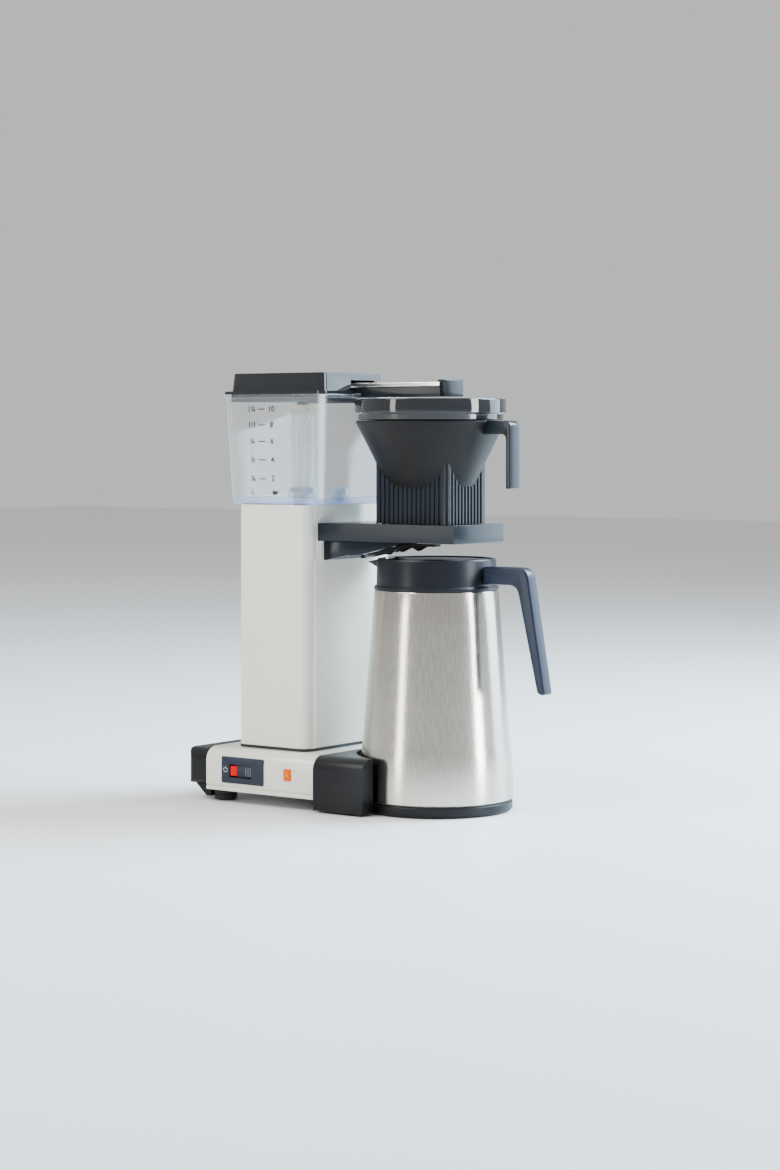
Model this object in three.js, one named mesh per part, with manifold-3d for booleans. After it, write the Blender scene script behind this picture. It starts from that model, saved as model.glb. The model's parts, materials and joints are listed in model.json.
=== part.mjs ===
// Drip coffee maker with a thermal carafe, in millimetres, +Z up.
// The counter is Z = 0, the machine is symmetric about Y = 0 and its front faces -Y.
// The origin is at the bottom centre of the whole machine.
import * as THREE from 'three';
import { mergeVertices } from 'three/addons/utils/BufferGeometryUtils.js';
import Module from 'manifold-3d';

const wasm = await Module();
wasm.setup();

// ---------------------------------------------------------------- driving dimensions
const GAP = 0.3; // clearance between neighbouring pieces
const FINE = 44; // sides of a large round piece
const COARSE = 16; // sides of a small round piece

const BASE = { x0: -147, x1: -24, halfY: 84, z0: 10.5, z1: 48.4, corner: 12.5, wall: 2.2 };
const CAP = { x0: -172, flange: 2, inset: 2.2, corner: 11, round: 8 };
const FOOT = { x: -140, y: 65, radius: 11, height: 10.2 };
const CRADLE = { x0: -23.7, x1: 30, halfY: 85, z0: 1.5, z1: 48.9, corner: 12.5, wall: 2.2, notch: 71 };

const CORD = { x: -128, z: 29, flangeR: 10, sleeveR: 7, bore: 3.8 };

const PANEL = { x0: -128.4, x1: -80.2, z0: 18, z1: 41.5, y0: -85, y1: -83.2 };
const ROCKER = { x0: -119.1, x1: -93.8, z0: 23.1, z1: 34.7, pivotY: -80.5, tilt: 7 };
const LAMP = { x0: -57, x1: -49.1, z0: 24.9, z1: 35, y0: -85, y1: -76 };

const COLUMN = { x0: -128.2, x1: -47, halfY: 64, z0: 51.1, z1: 268, corner: 10, wall: 2 };
const GASKET = { z0: 48.7, z1: 50.8, lip: 0.4, width: 6 };

const TANK = {
  z0: 268.4, z1: 367.2, floor: 6, wall: 2.6, corner: 8,
  low: { x0: -139.8, x1: -33.3, halfY: 60.2 },
  high: { x0: -145.8, x1: -26.6, halfY: 66 },
};
const RISER = { x: -102, glassR: 11.3, glassWall: 1.5, z0: 278.4, z1: 356 };
const OUTLET = { x: -60, radius: 9 };
const LID = {
  x0: -140.1, x1: -32.3, y0: -60.2, y1: 32.9, z1: 386.5, deckY: 60.2, deckZ: 376,
  flangeX0: -145, flangeX1: -27.6, flangeY: 65, flangeZ0: 367.6, flangeZ1: 370.2,
  plugX0: -140, plugX1: -32, plugY: 60.4, plugZ: 360.6, wall: 2.2, notchY: 18, notchZ: 380.2,
};

const ARM = { x0: -112, root: -38, x1: 67, halfY: 14, z0: 364.7, z1: 373.2, plate: 4, rimZ: 367.9 };

const BRACKET = {
  x0: -46.7, x1: 94.7, halfY: 38.4, rootY: 48.5, rootX: -23.1, z0: 236, z1: 252, wall: 3,
  screwY: 34, screwZ: 243,
};
const GUSSET = {
  rootY: 39.5, foldY: 36, tipY: 12, cheek: 5.5,
  rootZ: 218.4, foldZ: 223.4, kneeX: -12, kneeZ: 224, tipX: 26.6,
};
const LEVER = {
  pinX: -24, pinZ: 229, pinR: 2, topZ: 233.6, hubZ: 224.8, hubY: 18, plateY: 5.5, plateX: 50, bladeY: 2.6,
};

const BASKET = {
  x: 42.5, halfX: 39.6, halfY: 29.6, z0: 252.4, z1: 343.6, wall: 2, topR: 64.9, blendZ: 286, corner: 3,
};
const BASKET_LID = { z0: 343.9, stepZ: 349.7, z1: 362.7, lowR: 64.9, topR: 67.6, wall: 2.2 };
const BASKET_HANDLE = { x1: 132.6, thick: 4.8, halfY: 7.65, z1: 343.3, armZ: 331.3, z0: 284 };
const VALVE = { stemR: 3, headR: 6.4, z0: 236.4, headZ: 243.8, z1: 247 };

const CARAFE = {
  x: 49, baseR: 67.6, baseZ: 10, lowR: 68.3, kneeR: 65.4, kneeZ: 61, topR: 55.2, topZ: 194,
  wall: 1.1, space: 6,
};
const COLLAR = { z0: 194.3, z1: 221.5, lowR: 55.4, r: 53.4, rimR: 52.2, bore: 46, seatR: 49.6 };
const SPOUT = { reach: 75.9, tipZ: 216.6, rootR: 44, halfY: 14, z0: 206, wall: 2.2 };
const GRIP = {
  halfY: 6.6, z1: 216, armZ: 200.4, innerX: 138.1, outerX: 148.9, heelX: 159.4, toeX: 167.6, toeZ: 106.6,
};
const CENTRE_X = 2.49; // brings the middle of the whole machine to X = 0

// ---------------------------------------------------------------- shape helpers
const AXES = {
  X: new THREE.Matrix4().makeBasis(
    new THREE.Vector3(0, 1, 0), new THREE.Vector3(0, 0, 1), new THREE.Vector3(1, 0, 0)),
  Y: new THREE.Matrix4().makeBasis(
    new THREE.Vector3(1, 0, 0), new THREE.Vector3(0, 0, 1), new THREE.Vector3(0, 1, 0)),
};

// Turns a closed three.js geometry into a solid: welds it, drops empty faces and faces it outwards.
function solid(geometry) {
  const bare = new THREE.BufferGeometry();
  bare.setAttribute('position', geometry.attributes.position.clone());
  if (geometry.index) bare.setIndex(geometry.index.clone());
  const welded = mergeVertices(bare, 1e-4);
  const points = welded.attributes.position;
  const index = welded.index.array;
  const faces = [];
  let volume = 0;
  const [a, b, c] = [new THREE.Vector3(), new THREE.Vector3(), new THREE.Vector3()];
  for (let i = 0; i < index.length; i += 3) {
    const [p, q, r] = [index[i], index[i + 1], index[i + 2]];
    if (p === q || q === r || r === p) continue;
    faces.push([p, q, r]);
    a.fromBufferAttribute(points, p);
    b.fromBufferAttribute(points, q);
    c.fromBufferAttribute(points, r);
    volume += a.dot(b.cross(c));
  }
  const outward = volume > 0 ? faces : faces.map(([p, q, r]) => [p, r, q]);
  return new wasm.Manifold(new wasm.Mesh({
    numProp: 3,
    vertProperties: new Float32Array(points.array),
    triVerts: new Uint32Array(outward.flat()),
  }));
}

function extruded(shape, length, curveSegments = 4) {
  return new THREE.ExtrudeGeometry(shape, { depth: length, bevelEnabled: false, curveSegments });
}

function prismZ(shape, z0, z1, curveSegments) {
  return solid(extruded(shape, z1 - z0, curveSegments).translate(0, 0, z0));
}

// The shape is drawn in Y and Z.
function prismX(shape, x0, x1, curveSegments) {
  return solid(extruded(shape, x1 - x0, curveSegments).applyMatrix4(AXES.X).translate(x0, 0, 0));
}

// The shape is drawn in X and Z.
function prismY(shape, y0, y1, curveSegments) {
  return solid(extruded(shape, y1 - y0, curveSegments).applyMatrix4(AXES.Y).translate(0, y0, 0));
}

function box(x0, x1, y0, y1, z0, z1) {
  const geometry = new THREE.BoxGeometry(x1 - x0, y1 - y0, z1 - z0);
  return solid(geometry.translate((x0 + x1) / 2, (y0 + y1) / 2, (z0 + z1) / 2));
}

// A round piece about a vertical axis, from [radius, height] points.
function turned(points, x, y = 0, sides = FINE) {
  const profile = points.map(([r, z]) => new THREE.Vector2(r, z));
  return solid(new THREE.LatheGeometry(profile, sides).rotateX(Math.PI / 2).translate(x, y, 0));
}

function ring(inner, outer, z0, z1, x, y = 0, sides = FINE) {
  return turned([[inner, z0], [outer, z0], [outer, z1], [inner, z1], [inner, z0]], x, y, sides);
}

function rod(radius, z0, z1, x, y = 0, sides = COARSE) {
  return turned([[0, z0], [radius, z0], [radius, z1], [0, z1]], x, y, sides);
}

// A round bar along Y.
function crossRod(radius, y0, y1, x, z, sides = COARSE) {
  const geometry = new THREE.CylinderGeometry(radius, radius, y1 - y0, sides);
  return solid(geometry.translate(x, (y0 + y1) / 2, z));
}

// A round bar along X.
function longRod(radius, x0, x1, y, z, sides = COARSE) {
  const geometry = new THREE.CylinderGeometry(radius, radius, x1 - x0, sides);
  return solid(geometry.rotateZ(Math.PI / 2).translate((x0 + x1) / 2, y, z));
}

// A hose along a smooth curve through the points.
function hose(points, outer, inner, steps = 24) {
  const curve = new THREE.CatmullRomCurve3(points.map((p) => new THREE.Vector3(...p)));
  const section = new THREE.Shape().absarc(0, 0, outer, 0, 2 * Math.PI, false);
  if (inner) section.holes.push(new THREE.Path().absarc(0, 0, inner, 0, 2 * Math.PI, true));
  return solid(new THREE.ExtrudeGeometry(section, { steps, extrudePath: curve, curveSegments: 4 }));
}

function polygon(points) {
  return new THREE.Shape(points.map(([x, y]) => new THREE.Vector2(x, y)));
}

function roundedRect(x0, x1, y0, y1, r) {
  const shape = new THREE.Shape();
  shape.absarc(x1 - r, y0 + r, r, -Math.PI / 2, 0, false);
  shape.absarc(x1 - r, y1 - r, r, 0, Math.PI / 2, false);
  shape.absarc(x0 + r, y1 - r, r, Math.PI / 2, Math.PI, false);
  shape.absarc(x0 + r, y0 + r, r, Math.PI, 1.5 * Math.PI, false);
  return shape;
}

// A housing section in Y and Z: large round corners on top, small ones at the bottom.
function archSection(halfY, z0, z1, r, foot = 1) {
  const shape = new THREE.Shape();
  shape.absarc(halfY - foot, z0 + foot, foot, -Math.PI / 2, 0, false);
  shape.absarc(halfY - r, z1 - r, r, 0, Math.PI / 2, false);
  shape.absarc(-halfY + r, z1 - r, r, Math.PI / 2, Math.PI, false);
  shape.absarc(-halfY + foot, z0 + foot, foot, Math.PI, 1.5 * Math.PI, false);
  return shape;
}

// A closed outline of the machine's central plane, with its corners rounded by their own radii.
function roundedPath(corners) {
  const shape = new THREE.Shape();
  const count = corners.length;
  corners.forEach(([x, y, r = 0], i) => {
    const here = new THREE.Vector2(x, y);
    const before = new THREE.Vector2(...corners[(i + count - 1) % count].slice(0, 2)).sub(here);
    const after = new THREE.Vector2(...corners[(i + 1) % count].slice(0, 2)).sub(here);
    const start = here.clone().addScaledVector(before.normalize(), r);
    const end = here.clone().addScaledVector(after.normalize(), r);
    if (i === 0) shape.moveTo(start.x, start.y);
    else shape.lineTo(start.x, start.y);
    if (r > 0) shape.quadraticCurveTo(x, y, end.x, end.y);
  });
  shape.closePath();
  return shape;
}

// A skin through stacked outlines that have the same number of points, closed at both ends.
function loft(outlines) {
  const count = outlines[0].length;
  const positions = outlines.flat(2);
  const faces = [];
  for (let level = 0; level + 1 < outlines.length; level += 1) {
    for (let i = 0; i < count; i += 1) {
      const a = level * count + i;
      const b = level * count + ((i + 1) % count);
      faces.push(a, b, a + count, b, b + count, a + count);
    }
  }
  const flat = outlines[0].map(([x, y]) => new THREE.Vector2(x, y));
  const top = (outlines.length - 1) * count;
  for (const [a, b, c] of THREE.ShapeUtils.triangulateShape(flat, [])) {
    faces.push(a, c, b, top + a, top + b, top + c);
  }
  const geometry = new THREE.BufferGeometry();
  geometry.setAttribute('position', new THREE.Float32BufferAttribute(positions, 3));
  geometry.setIndex(faces);
  return solid(geometry);
}

function outline(shape, z, divisions = 6) {
  const points = shape.extractPoints(divisions).shape;
  const closed = points[0].distanceTo(points[points.length - 1]) < 1e-6;
  return (closed ? points.slice(0, -1) : points).map((p) => [p.x, p.y, z]);
}

function tapered(low, z0, high, z1, r) {
  return loft([
    outline(roundedRect(low.x0, low.x1, -low.halfY, low.halfY, r), z0),
    outline(roundedRect(high.x0, high.x1, -high.halfY, high.halfY, r), z1),
  ]);
}

function ellipse(x, radiusX, radiusY, z, sides = FINE) {
  return Array.from({ length: sides }, (_, i) => {
    const angle = (2 * Math.PI * i) / sides;
    return [x + radiusX * Math.cos(angle), radiusY * Math.sin(angle), z];
  });
}

function minus(body, ...tools) {
  return tools.reduce((rest, tool) => rest.subtract(tool), body);
}

function plus(body, ...others) {
  return others.reduce((sum, other) => sum.add(other), body);
}

// ---------------------------------------------------------------- the part and its materials
const machine = new THREE.Group();

const FINISH = {
  cream: { color: 0xd6d4c8, roughness: 0.35, metalness: 0.1 },
  black: { color: 0x2c2d31, roughness: 0.45, metalness: 0 },
  slate: { color: 0x3c4249, roughness: 0.35, metalness: 0 },
  gloss: { color: 0x16181c, roughness: 0.08, metalness: 0 },
  navy: { color: 0x232f42, roughness: 0.4, metalness: 0 },
  red: { color: 0xe83a38, roughness: 0.3, metalness: 0 },
  amber: { color: 0xff9a28, roughness: 0.25, metalness: 0 },
  rubber: { color: 0x17171a, roughness: 0.8, metalness: 0 },
  clear: { color: 0xe8eef4, roughness: 0.05, metalness: 0 },
  glass: { color: 0xf2f6f4, roughness: 0.02, metalness: 0 },
  ivory: { color: 0xe9dfba, roughness: 0.5, metalness: 0 },
  silicone: { color: 0xdedcd2, roughness: 0.6, metalness: 0 },
  steel: { color: 0xc9c4bc, roughness: 0.28, metalness: 1 },
  bright: { color: 0xe6e2da, roughness: 0.2, metalness: 1 },
  copper: { color: 0xb87048, roughness: 0.3, metalness: 1 },
};

function add(name, body, finish) {
  const { numProp, vertProperties, triVerts } = body.translate([CENTRE_X, 0, 0]).getMesh();
  if (numProp !== 3) throw new Error(`${name} carries more than positions`);
  const geometry = new THREE.BufferGeometry();
  geometry.setAttribute('position', new THREE.Float32BufferAttribute(vertProperties, 3));
  geometry.setIndex(Array.from(triVerts));
  const mesh = new THREE.Mesh(geometry, new THREE.MeshStandardMaterial(FINISH[finish]));
  mesh.name = name;
  machine.add(mesh);
}

// ---------------------------------------------------------------- base
// An aluminium channel, open below, with windows for the switch, the lamp, the column and the cord.
function baseHousing() {
  const { x0, x1, halfY, z0, z1, corner, wall } = BASE;
  const outer = prismX(archSection(halfY, z0, z1, corner), x0, x1);
  const inner = prismX(archSection(halfY - wall, z0 - 5, z1 - wall, corner - wall), x0 - 1, x1 + 1);
  const front = -halfY - 1;
  const window = (of, side, high, depth) => box(
    of.x0 - side, of.x1 + side, front, depth, of.z0 - high, of.z1 + high);
  const switchWindow = window(ROCKER, 3, 2.6, -70);
  const panelSeat = window(PANEL, GAP, GAP, PANEL.y1 + GAP);
  const lampWindow = window(LAMP, GAP, GAP, -70);
  const columnWindow = box(COLUMN.x0 + 14, COLUMN.x1 - 12, -48, 48, z1 - 8, z1 + 2);
  const cordHole = crossRod(CORD.sleeveR + 0.4, halfY - 8, halfY + 2, CORD.x, CORD.z);
  return minus(outer, inner, switchWindow, panelSeat, lampWindow, columnWindow, cordHole);
}

// A moulded cap: a flange as large as the channel, then a smaller rounded box with a foot lug.
function baseEndCap() {
  const { x0, flange, inset, corner, round } = CAP;
  const { halfY, z0, z1 } = BASE;
  const x1 = BASE.x0 - GAP;
  const rim = prismX(archSection(halfY, z0, z1, BASE.corner, 3), x1 - flange, x1);
  const body = (grow) => {
    const y = halfY - inset - grow;
    const low = z0 + inset + 1 + grow;
    const high = z1 - inset - grow;
    const plan = roundedRect(x0 + grow, x1 + 30, -y, y, round);
    const section = archSection(y, low, high, corner, 7 - grow);
    return prismZ(plan, low, high).intersect(prismX(section, x0, grow ? x1 + 1 : x1));
  };
  const lug = polygon([[x0 + 7, 13.8], [x0 + 19.6, 3], [x1 - 0.2, 3], [x1 - 0.2, 13.8]]);
  const lugs = [-1, 1].map((side) => {
    const y = side * FOOT.y;
    return minus(prismY(lug, y - 12, y + 12), rod(FOOT.radius + GAP, 0, 20, FOOT.x, y));
  });
  return minus(plus(rim, body(0), ...lugs), body(2));
}

function basePlate() {
  const y = BASE.halfY - BASE.wall - 0.4;
  return box(BASE.x0 + 0.4, BASE.x1 - 0.4, -y, y, 11, 12.6);
}

function foot(side) {
  const { x, y, radius, height } = FOOT;
  const profile = [[0, 0], [radius - 1.6, 0], [radius - 0.4, 1.2], [radius, height], [0, height]];
  return turned(profile, x, side * y, 32);
}

// The carafe stands in the round notch of this cradle, straight on the counter.
function carafeCradle() {
  const { x0, x1, halfY, z0, z1, corner, wall, notch } = CRADLE;
  const hollow = (grow) => prismX(
    archSection(halfY - grow, grow ? z0 - 3 : z0, z1 - grow, corner - grow), x0 + grow, x1 - grow, 8,
  ).subtract(rod(notch + grow, -5, 60, CARAFE.x, 0, 80));
  return minus(hollow(0), hollow(wall));
}

function cradlePad(side) {
  const y = side * 77;
  return prismZ(roundedRect(-12, 14, y - 5.4, y + 5.4, 2), 0, CRADLE.z0 - GAP);
}

// ---------------------------------------------------------------- switch and lamp
function switchPanel() {
  const { x0, x1, z0, z1, y0, y1 } = PANEL;
  const plate = prismY(roundedRect(x0, x1, z0, z1, 1.5), y0, y1, 4);
  return minus(plate, box(ROCKER.x0, ROCKER.x1, y0 - 1, y1 + 1, ROCKER.z0, ROCKER.z1));
}

// The switch body behind the panel, a box that the rocker tilts in.
function switchBody() {
  const { x0, x1, z0, z1 } = ROCKER;
  const shell = box(x0 - 2.6, x1 + 2.6, PANEL.y1 + GAP, -66, z0 - 2.2, z1 + 2.2);
  return minus(shell, box(x0, x1, PANEL.y1 - 2, -70, z0, z1));
}

// The rocker's own outline before it is tilted, about its pivot: [x, y] with the front at -y.
function rockerOutline(from, to) {
  const front = (x) => -1.7 - 1.3 * (Math.abs(x) / 12.2);
  const back = (x) => 5 - 4 * (Math.abs(x) / 12.2) ** 2;
  const xs = [from, ...(from < 0 && to > 0 ? [0] : []), to];
  const rear = [...xs].reverse();
  return polygon([...xs.map((x) => [x, front(x)]), ...rear.map((x) => [x, back(x)])]);
}

function rockerPiece(from, to) {
  const shape = rockerOutline(from, to);
  const tilt = THREE.MathUtils.degToRad(ROCKER.tilt);
  const geometry = extruded(shape, ROCKER.z1 - ROCKER.z0 - 0.8).rotateZ(tilt);
  return solid(geometry.translate((ROCKER.x0 + ROCKER.x1) / 2, ROCKER.pivotY, ROCKER.z0 + 0.4));
}

function pilotLamp() {
  const { x0, x1, z0, z1, y0, y1 } = LAMP;
  return prismY(roundedRect(x0, x1, z0, z1, 0.8), y0, y1, 3);
}

// ---------------------------------------------------------------- column
function columnSection(grow) {
  const { x0, x1, halfY, corner } = COLUMN;
  return roundedRect(x0 - grow, x1 + grow, -halfY - grow, halfY + grow, corner + grow);
}

function columnHousing() {
  const { z0, z1, wall, x1 } = COLUMN;
  const tube = minus(prismZ(columnSection(0), z0, z1), prismZ(columnSection(-wall), z0 - 1, z1 + 1));
  const { screwY, screwZ } = BRACKET;
  const screwHoles = [-1, 1].map((side) => longRod(2.4, x1 - 8, x1 + 3, side * screwY, screwZ, 12));
  return minus(tube, ...screwHoles);
}

function columnGasket() {
  const { z0, z1, lip, width } = GASKET;
  return minus(prismZ(columnSection(lip), z0, z1), prismZ(columnSection(-width), z0 - 1, z1 + 1));
}

// A pressed plate under the tank, with holes for the riser and the tank's outlet.
function columnTopPlate() {
  const plate = prismZ(columnSection(-COLUMN.wall - GAP), 262.4, 264);
  return minus(plate, rod(9, 260, 266, RISER.x), rod(7.4, 260, 266, OUTLET.x));
}

// ---------------------------------------------------------------- water path and electrics
const BOILER = { x: RISER.x, outer: 13, inner: 11, z0: 92, z1: 214, elementX: -82, elementR: 5 };

function boilerTube() {
  return ring(BOILER.inner, BOILER.outer, BOILER.z0, BOILER.z1, BOILER.x, 0, 32);
}

function heatingElement() {
  return rod(BOILER.elementR, BOILER.z0 - 4, BOILER.z1 + 4, BOILER.elementX);
}

// One band ties the heating element to the boiler tube.
function elementClamp() {
  const mid = 150;
  const band = prismZ(roundedRect(-117, -75, -15, 15, 13), mid - 8, mid + 8);
  const tubeHole = rod(BOILER.outer + GAP, mid - 10, mid + 10, BOILER.x, 0, 32);
  return minus(band, tubeHole, rod(BOILER.elementR + GAP, mid - 10, mid + 10, BOILER.elementX));
}

function thermostat() {
  return crossRod(9, -24, -15.4, BOILER.x + 6, 150);
}

function thermalFuse() {
  return crossRod(4, 15.4, 22, BOILER.x + 6, 150, 16);
}

function boilerCap(z, stemUp) {
  const { x, inner, outer } = BOILER;
  const s = stemUp ? 1 : -1;
  const profile = [
    [4, z], [outer, z], [outer, z + s * 3], [6.5, z + s * 3], [6.5, z + s * 14], [4, z + s * 14], [4, z],
  ];
  const [low, high] = stemUp ? [z - 4, z] : [z, z + 4];
  return plus(turned(profile, x, 0, 32), ring(4, inner - GAP, low, high, x, 0, 32));
}

function riserHose() {
  return ring(6.8, 8.4, BOILER.z1 + 4, 276.8, RISER.x, 0, COARSE);
}

function riserSeal() {
  const { x, glassR, glassWall, z0 } = RISER;
  const bore = glassR - glassWall - 2.2;
  return turned([
    [bore + 1.2, TANK.z0 + TANK.floor + GAP], [glassR + 2, TANK.z0 + TANK.floor + GAP],
    [glassR + 2, z0 + 4], [glassR + GAP, z0 + 4], [glassR + GAP, z0 - GAP],
    [bore + 1.2, z0 - GAP], [bore + 1.2, TANK.z0 + TANK.floor + GAP],
  ], x, 0, 32);
}

function glassTube() {
  const { x, glassR, glassWall, z0, z1 } = RISER;
  return ring(glassR - glassWall, glassR, z0, z1, x, 0, 32);
}

function tubeCollar() {
  const { x, glassR, glassWall, z1 } = RISER;
  const inner = 6.6;
  const bore = glassR - glassWall - GAP;
  return turned([
    [inner, z1 - 7], [bore, z1 - 7], [bore, z1 + GAP], [glassR, z1 + GAP],
    [glassR, z1 + 2.6], [inner, z1 + 2.6], [inner, z1 - 7],
  ], x, 0, 32);
}

const HOSE = { outer: 6.5, inner: 4, valveZ0: 150, valveZ1: 176, lowZ: 59 };

function inletHoseUpper() {
  return ring(HOSE.inner, HOSE.outer, HOSE.valveZ1 + GAP, 266, OUTLET.x, 0, 16);
}

function checkValve() {
  const { inner, valveZ0, valveZ1 } = HOSE;
  return turned([
    [inner - 1, valveZ0], [7, valveZ0], [9.5, valveZ0 + 4], [9.5, valveZ1 - 4],
    [7, valveZ1], [inner - 1, valveZ1], [inner - 1, valveZ0],
  ], OUTLET.x, 0, COARSE);
}

// The hose drops from the valve, turns under the boiler and rises to its lower cap.
function inletHoseLower() {
  const { outer, inner, valveZ0, lowZ } = HOSE;
  const x = OUTLET.x;
  return hose([
    [x, 0, valveZ0 - GAP], [x, 0, 110], [x, 0, 84], [x - 4, 0, 67], [x - 15, 0, lowZ],
    [BOILER.x + 14, 0, lowZ], [BOILER.x + 3, 0, lowZ + 5],
    [BOILER.x, 0, lowZ + 12], [BOILER.x, 0, lowZ + 18],
  ], outer - 0.6, inner, 18);
}

function terminalBlock() {
  const block = box(-112, -84, 40, 56, 13, 27);
  const slots = [0, 1, 2].map((i) => rod(2.2, 18, 30, -107 + 9 * i, 48, 12));
  return minus(block, ...slots);
}

function wireLoom() {
  return hose([
    [-82, 44, 30], [-78, 38, 36], [-80, 30, 50], [-84, 26, 80], [-90, 26, 120], [-92, 27, 138],
  ], 2.6, 0, 12);
}

function cordGland() {
  const y = BASE.halfY;
  const { x, z, flangeR, sleeveR, bore } = CORD;
  const flange = crossRod(flangeR, y + GAP, y + 1, x, z);
  const sleeve = crossRod(sleeveR, y - 12, y + 0.5, x, z);
  return minus(plus(flange, sleeve), crossRod(bore, y - 14, y + 3, x, z));
}

// ---------------------------------------------------------------- water tank
function tank() {
  const { z0, z1, floor, wall, corner, low, high } = TANK;
  const shrink = (edge, by) => ({ x0: edge.x0 + by, x1: edge.x1 - by, halfY: edge.halfY - by });
  const outer = tapered(low, z0, high, z1, corner);
  const inner = tapered(shrink(low, wall), z0 + floor, shrink(high, wall), z1 + 0.01, corner - wall + 1);
  const armNotch = box(high.x1 - 12, high.x1 + 2, -LID.notchY, LID.notchY, 364.2, z1 + 2);
  const riserHole = rod(8.7, z0 - 1, z0 + floor + 1, RISER.x, 0, 32);
  const outletHole = rod(6.8, z0 - 1, z0 + floor + 1, OUTLET.x);
  return minus(outer, inner, armNotch, riserHole, outletHole);
}

// The strainer over the tank's outlet, clear plastic with a stub that goes through the floor.
function outletStrainer() {
  const z = TANK.z0 + TANK.floor + GAP;
  const cup = turned([
    [2.4, z - 4], [6.4, z - 4], [6.4, z], [OUTLET.radius, z], [OUTLET.radius, z + 9],
    [7.4, z + 9], [7.4, z + 2], [2.4, z + 2], [2.4, z - 4],
  ], OUTLET.x, 0, COARSE);
  const slots = [0, 1, 2, 3].map((i) => {
    const blade = new THREE.BoxGeometry(2 * OUTLET.radius + 4, 2, 5).rotateZ((i * Math.PI) / 4);
    return solid(blade.translate(OUTLET.x, 0, z + 9));
  });
  return minus(cup, ...slots);
}

// The tank lid: a raised front box, a low rear deck, a flange and a plug that drops into the tank.
function tankLid() {
  const L = LID;
  const foot = (grow) => L.flangeZ0 + 1 - 4 * grow;
  const plan = (by) => roundedRect(L.x0 + by, L.x1 - by, L.y0 + by, L.y1 - by, 7);
  const raised = (grow) => loft([outline(plan(grow), foot(grow)), outline(plan(grow + 1.5), L.z1 - grow)]);
  const deckPlan = (by) => roundedRect(L.x0 + by, L.x1 - by, L.y1 - 9 + 3 * by, L.deckY - by, 5);
  const deck = (grow) => prismZ(deckPlan(grow), foot(grow), L.deckZ - grow);
  const flange = prismZ(
    roundedRect(L.flangeX0, L.flangeX1, -L.flangeY, L.flangeY, 7), L.flangeZ0, L.flangeZ1);
  const plug = (grow) => prismZ(
    roundedRect(L.plugX0 + grow, L.plugX1 - grow, -L.plugY + grow, L.plugY - grow, 5),
    L.plugZ - grow, L.flangeZ0 + (grow ? 0.5 : 1));
  const armSlot = box(ARM.x0 - 4, L.flangeX1 + 2, -L.notchY, L.notchY, L.plugZ - 2, L.notchZ);
  const w = L.wall;
  return minus(plus(flange, raised(0), deck(0), plug(0)), raised(w), deck(w), plug(w), armSlot);
}

// ---------------------------------------------------------------- outlet arm
// The arm brings hot water from the riser to spray holes above the filter basket.
function outletArm() {
  const { x0, x1, halfY, z0, z1, rimZ, root } = ARM;
  const side = polygon([
    [x0, rimZ], [-24.5, rimZ], [-24.5, z0], [x1 - 4, z0],
    [x1 - 4, z1], [root, z1], [root, z1 + 3], [x0, z1 + 3],
  ]);
  const body = prismY(side, -halfY, halfY);
  const pipe = rod(5.6, 352, rimZ + 1, RISER.x);
  const channel = box(RISER.x - 3, BASKET.x + 24, -5, 5, rimZ + 1.6, z1 - 1.6);
  const bore = rod(3.6, 350, rimZ + 2, RISER.x);
  const holes = [];
  for (const x of [-20, -10, 0, 10, 20]) {
    holes.push(rod(1.6, z0 - 1, rimZ + 3, BASKET.x + x, 0, 12));
  }
  return minus(plus(body, pipe), channel, bore, ...holes);
}

function armTopPlate() {
  const { root, x1, halfY, z1, plate } = ARM;
  return prismZ(roundedRect(root + 0.4, x1 - 4.6, -halfY, halfY, 1), z1 + GAP, z1 + GAP + plate, 3);
}

function armEndCap() {
  const { x1, halfY, z0, z1, plate } = ARM;
  const side = polygon([
    [x1 - 3.7, z0], [x1 + 1.5, z0], [x1 + 1.5, z1 + plate + 2.4],
    [x1 - 7, z1 + plate + 2.4], [x1 - 7, z1 + plate + 2 * GAP], [x1 - 3.7, z1 + plate + 2 * GAP],
  ]);
  return prismY(side, -halfY, halfY);
}

// ---------------------------------------------------------------- basket bracket and drip stop
function bracketPlan(inset) {
  const { x0, x1, halfY, rootY, rootX } = BRACKET;
  const i = inset;
  return polygon([
    [x0 + i, -rootY + 1.4 * i], [rootX, -halfY + i], [x1 - i, -halfY + i],
    [x1 - i, halfY - i], [rootX, halfY - i], [x0 + i, rootY - 1.4 * i],
  ]);
}

function basketBracket() {
  const { x0, z0, z1, wall, screwY, screwZ } = BRACKET;
  const shell = minus(prismZ(bracketPlan(0), z0, z1), prismZ(bracketPlan(wall), z0 - 1, z1 - wall));
  const valveHole = rod(VALVE.headR + 0.8, z0 - 1, z1 + 1, BASKET.x);
  const screwHoles = [-1, 1].map((side) => longRod(2.4, x0 - 1, x0 + 6, side * screwY, screwZ, 12));
  return minus(shell, valveHole, ...screwHoles);
}

function bracketScrew(side) {
  const { x0, wall, screwY, screwZ } = BRACKET;
  const headX = x0 + wall + GAP;
  const head = longRod(4.2, headX, headX + 3, side * screwY, screwZ, 12);
  return plus(head, longRod(2.1, x0 - 9, headX + 1, side * screwY, screwZ, 12));
}

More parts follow.
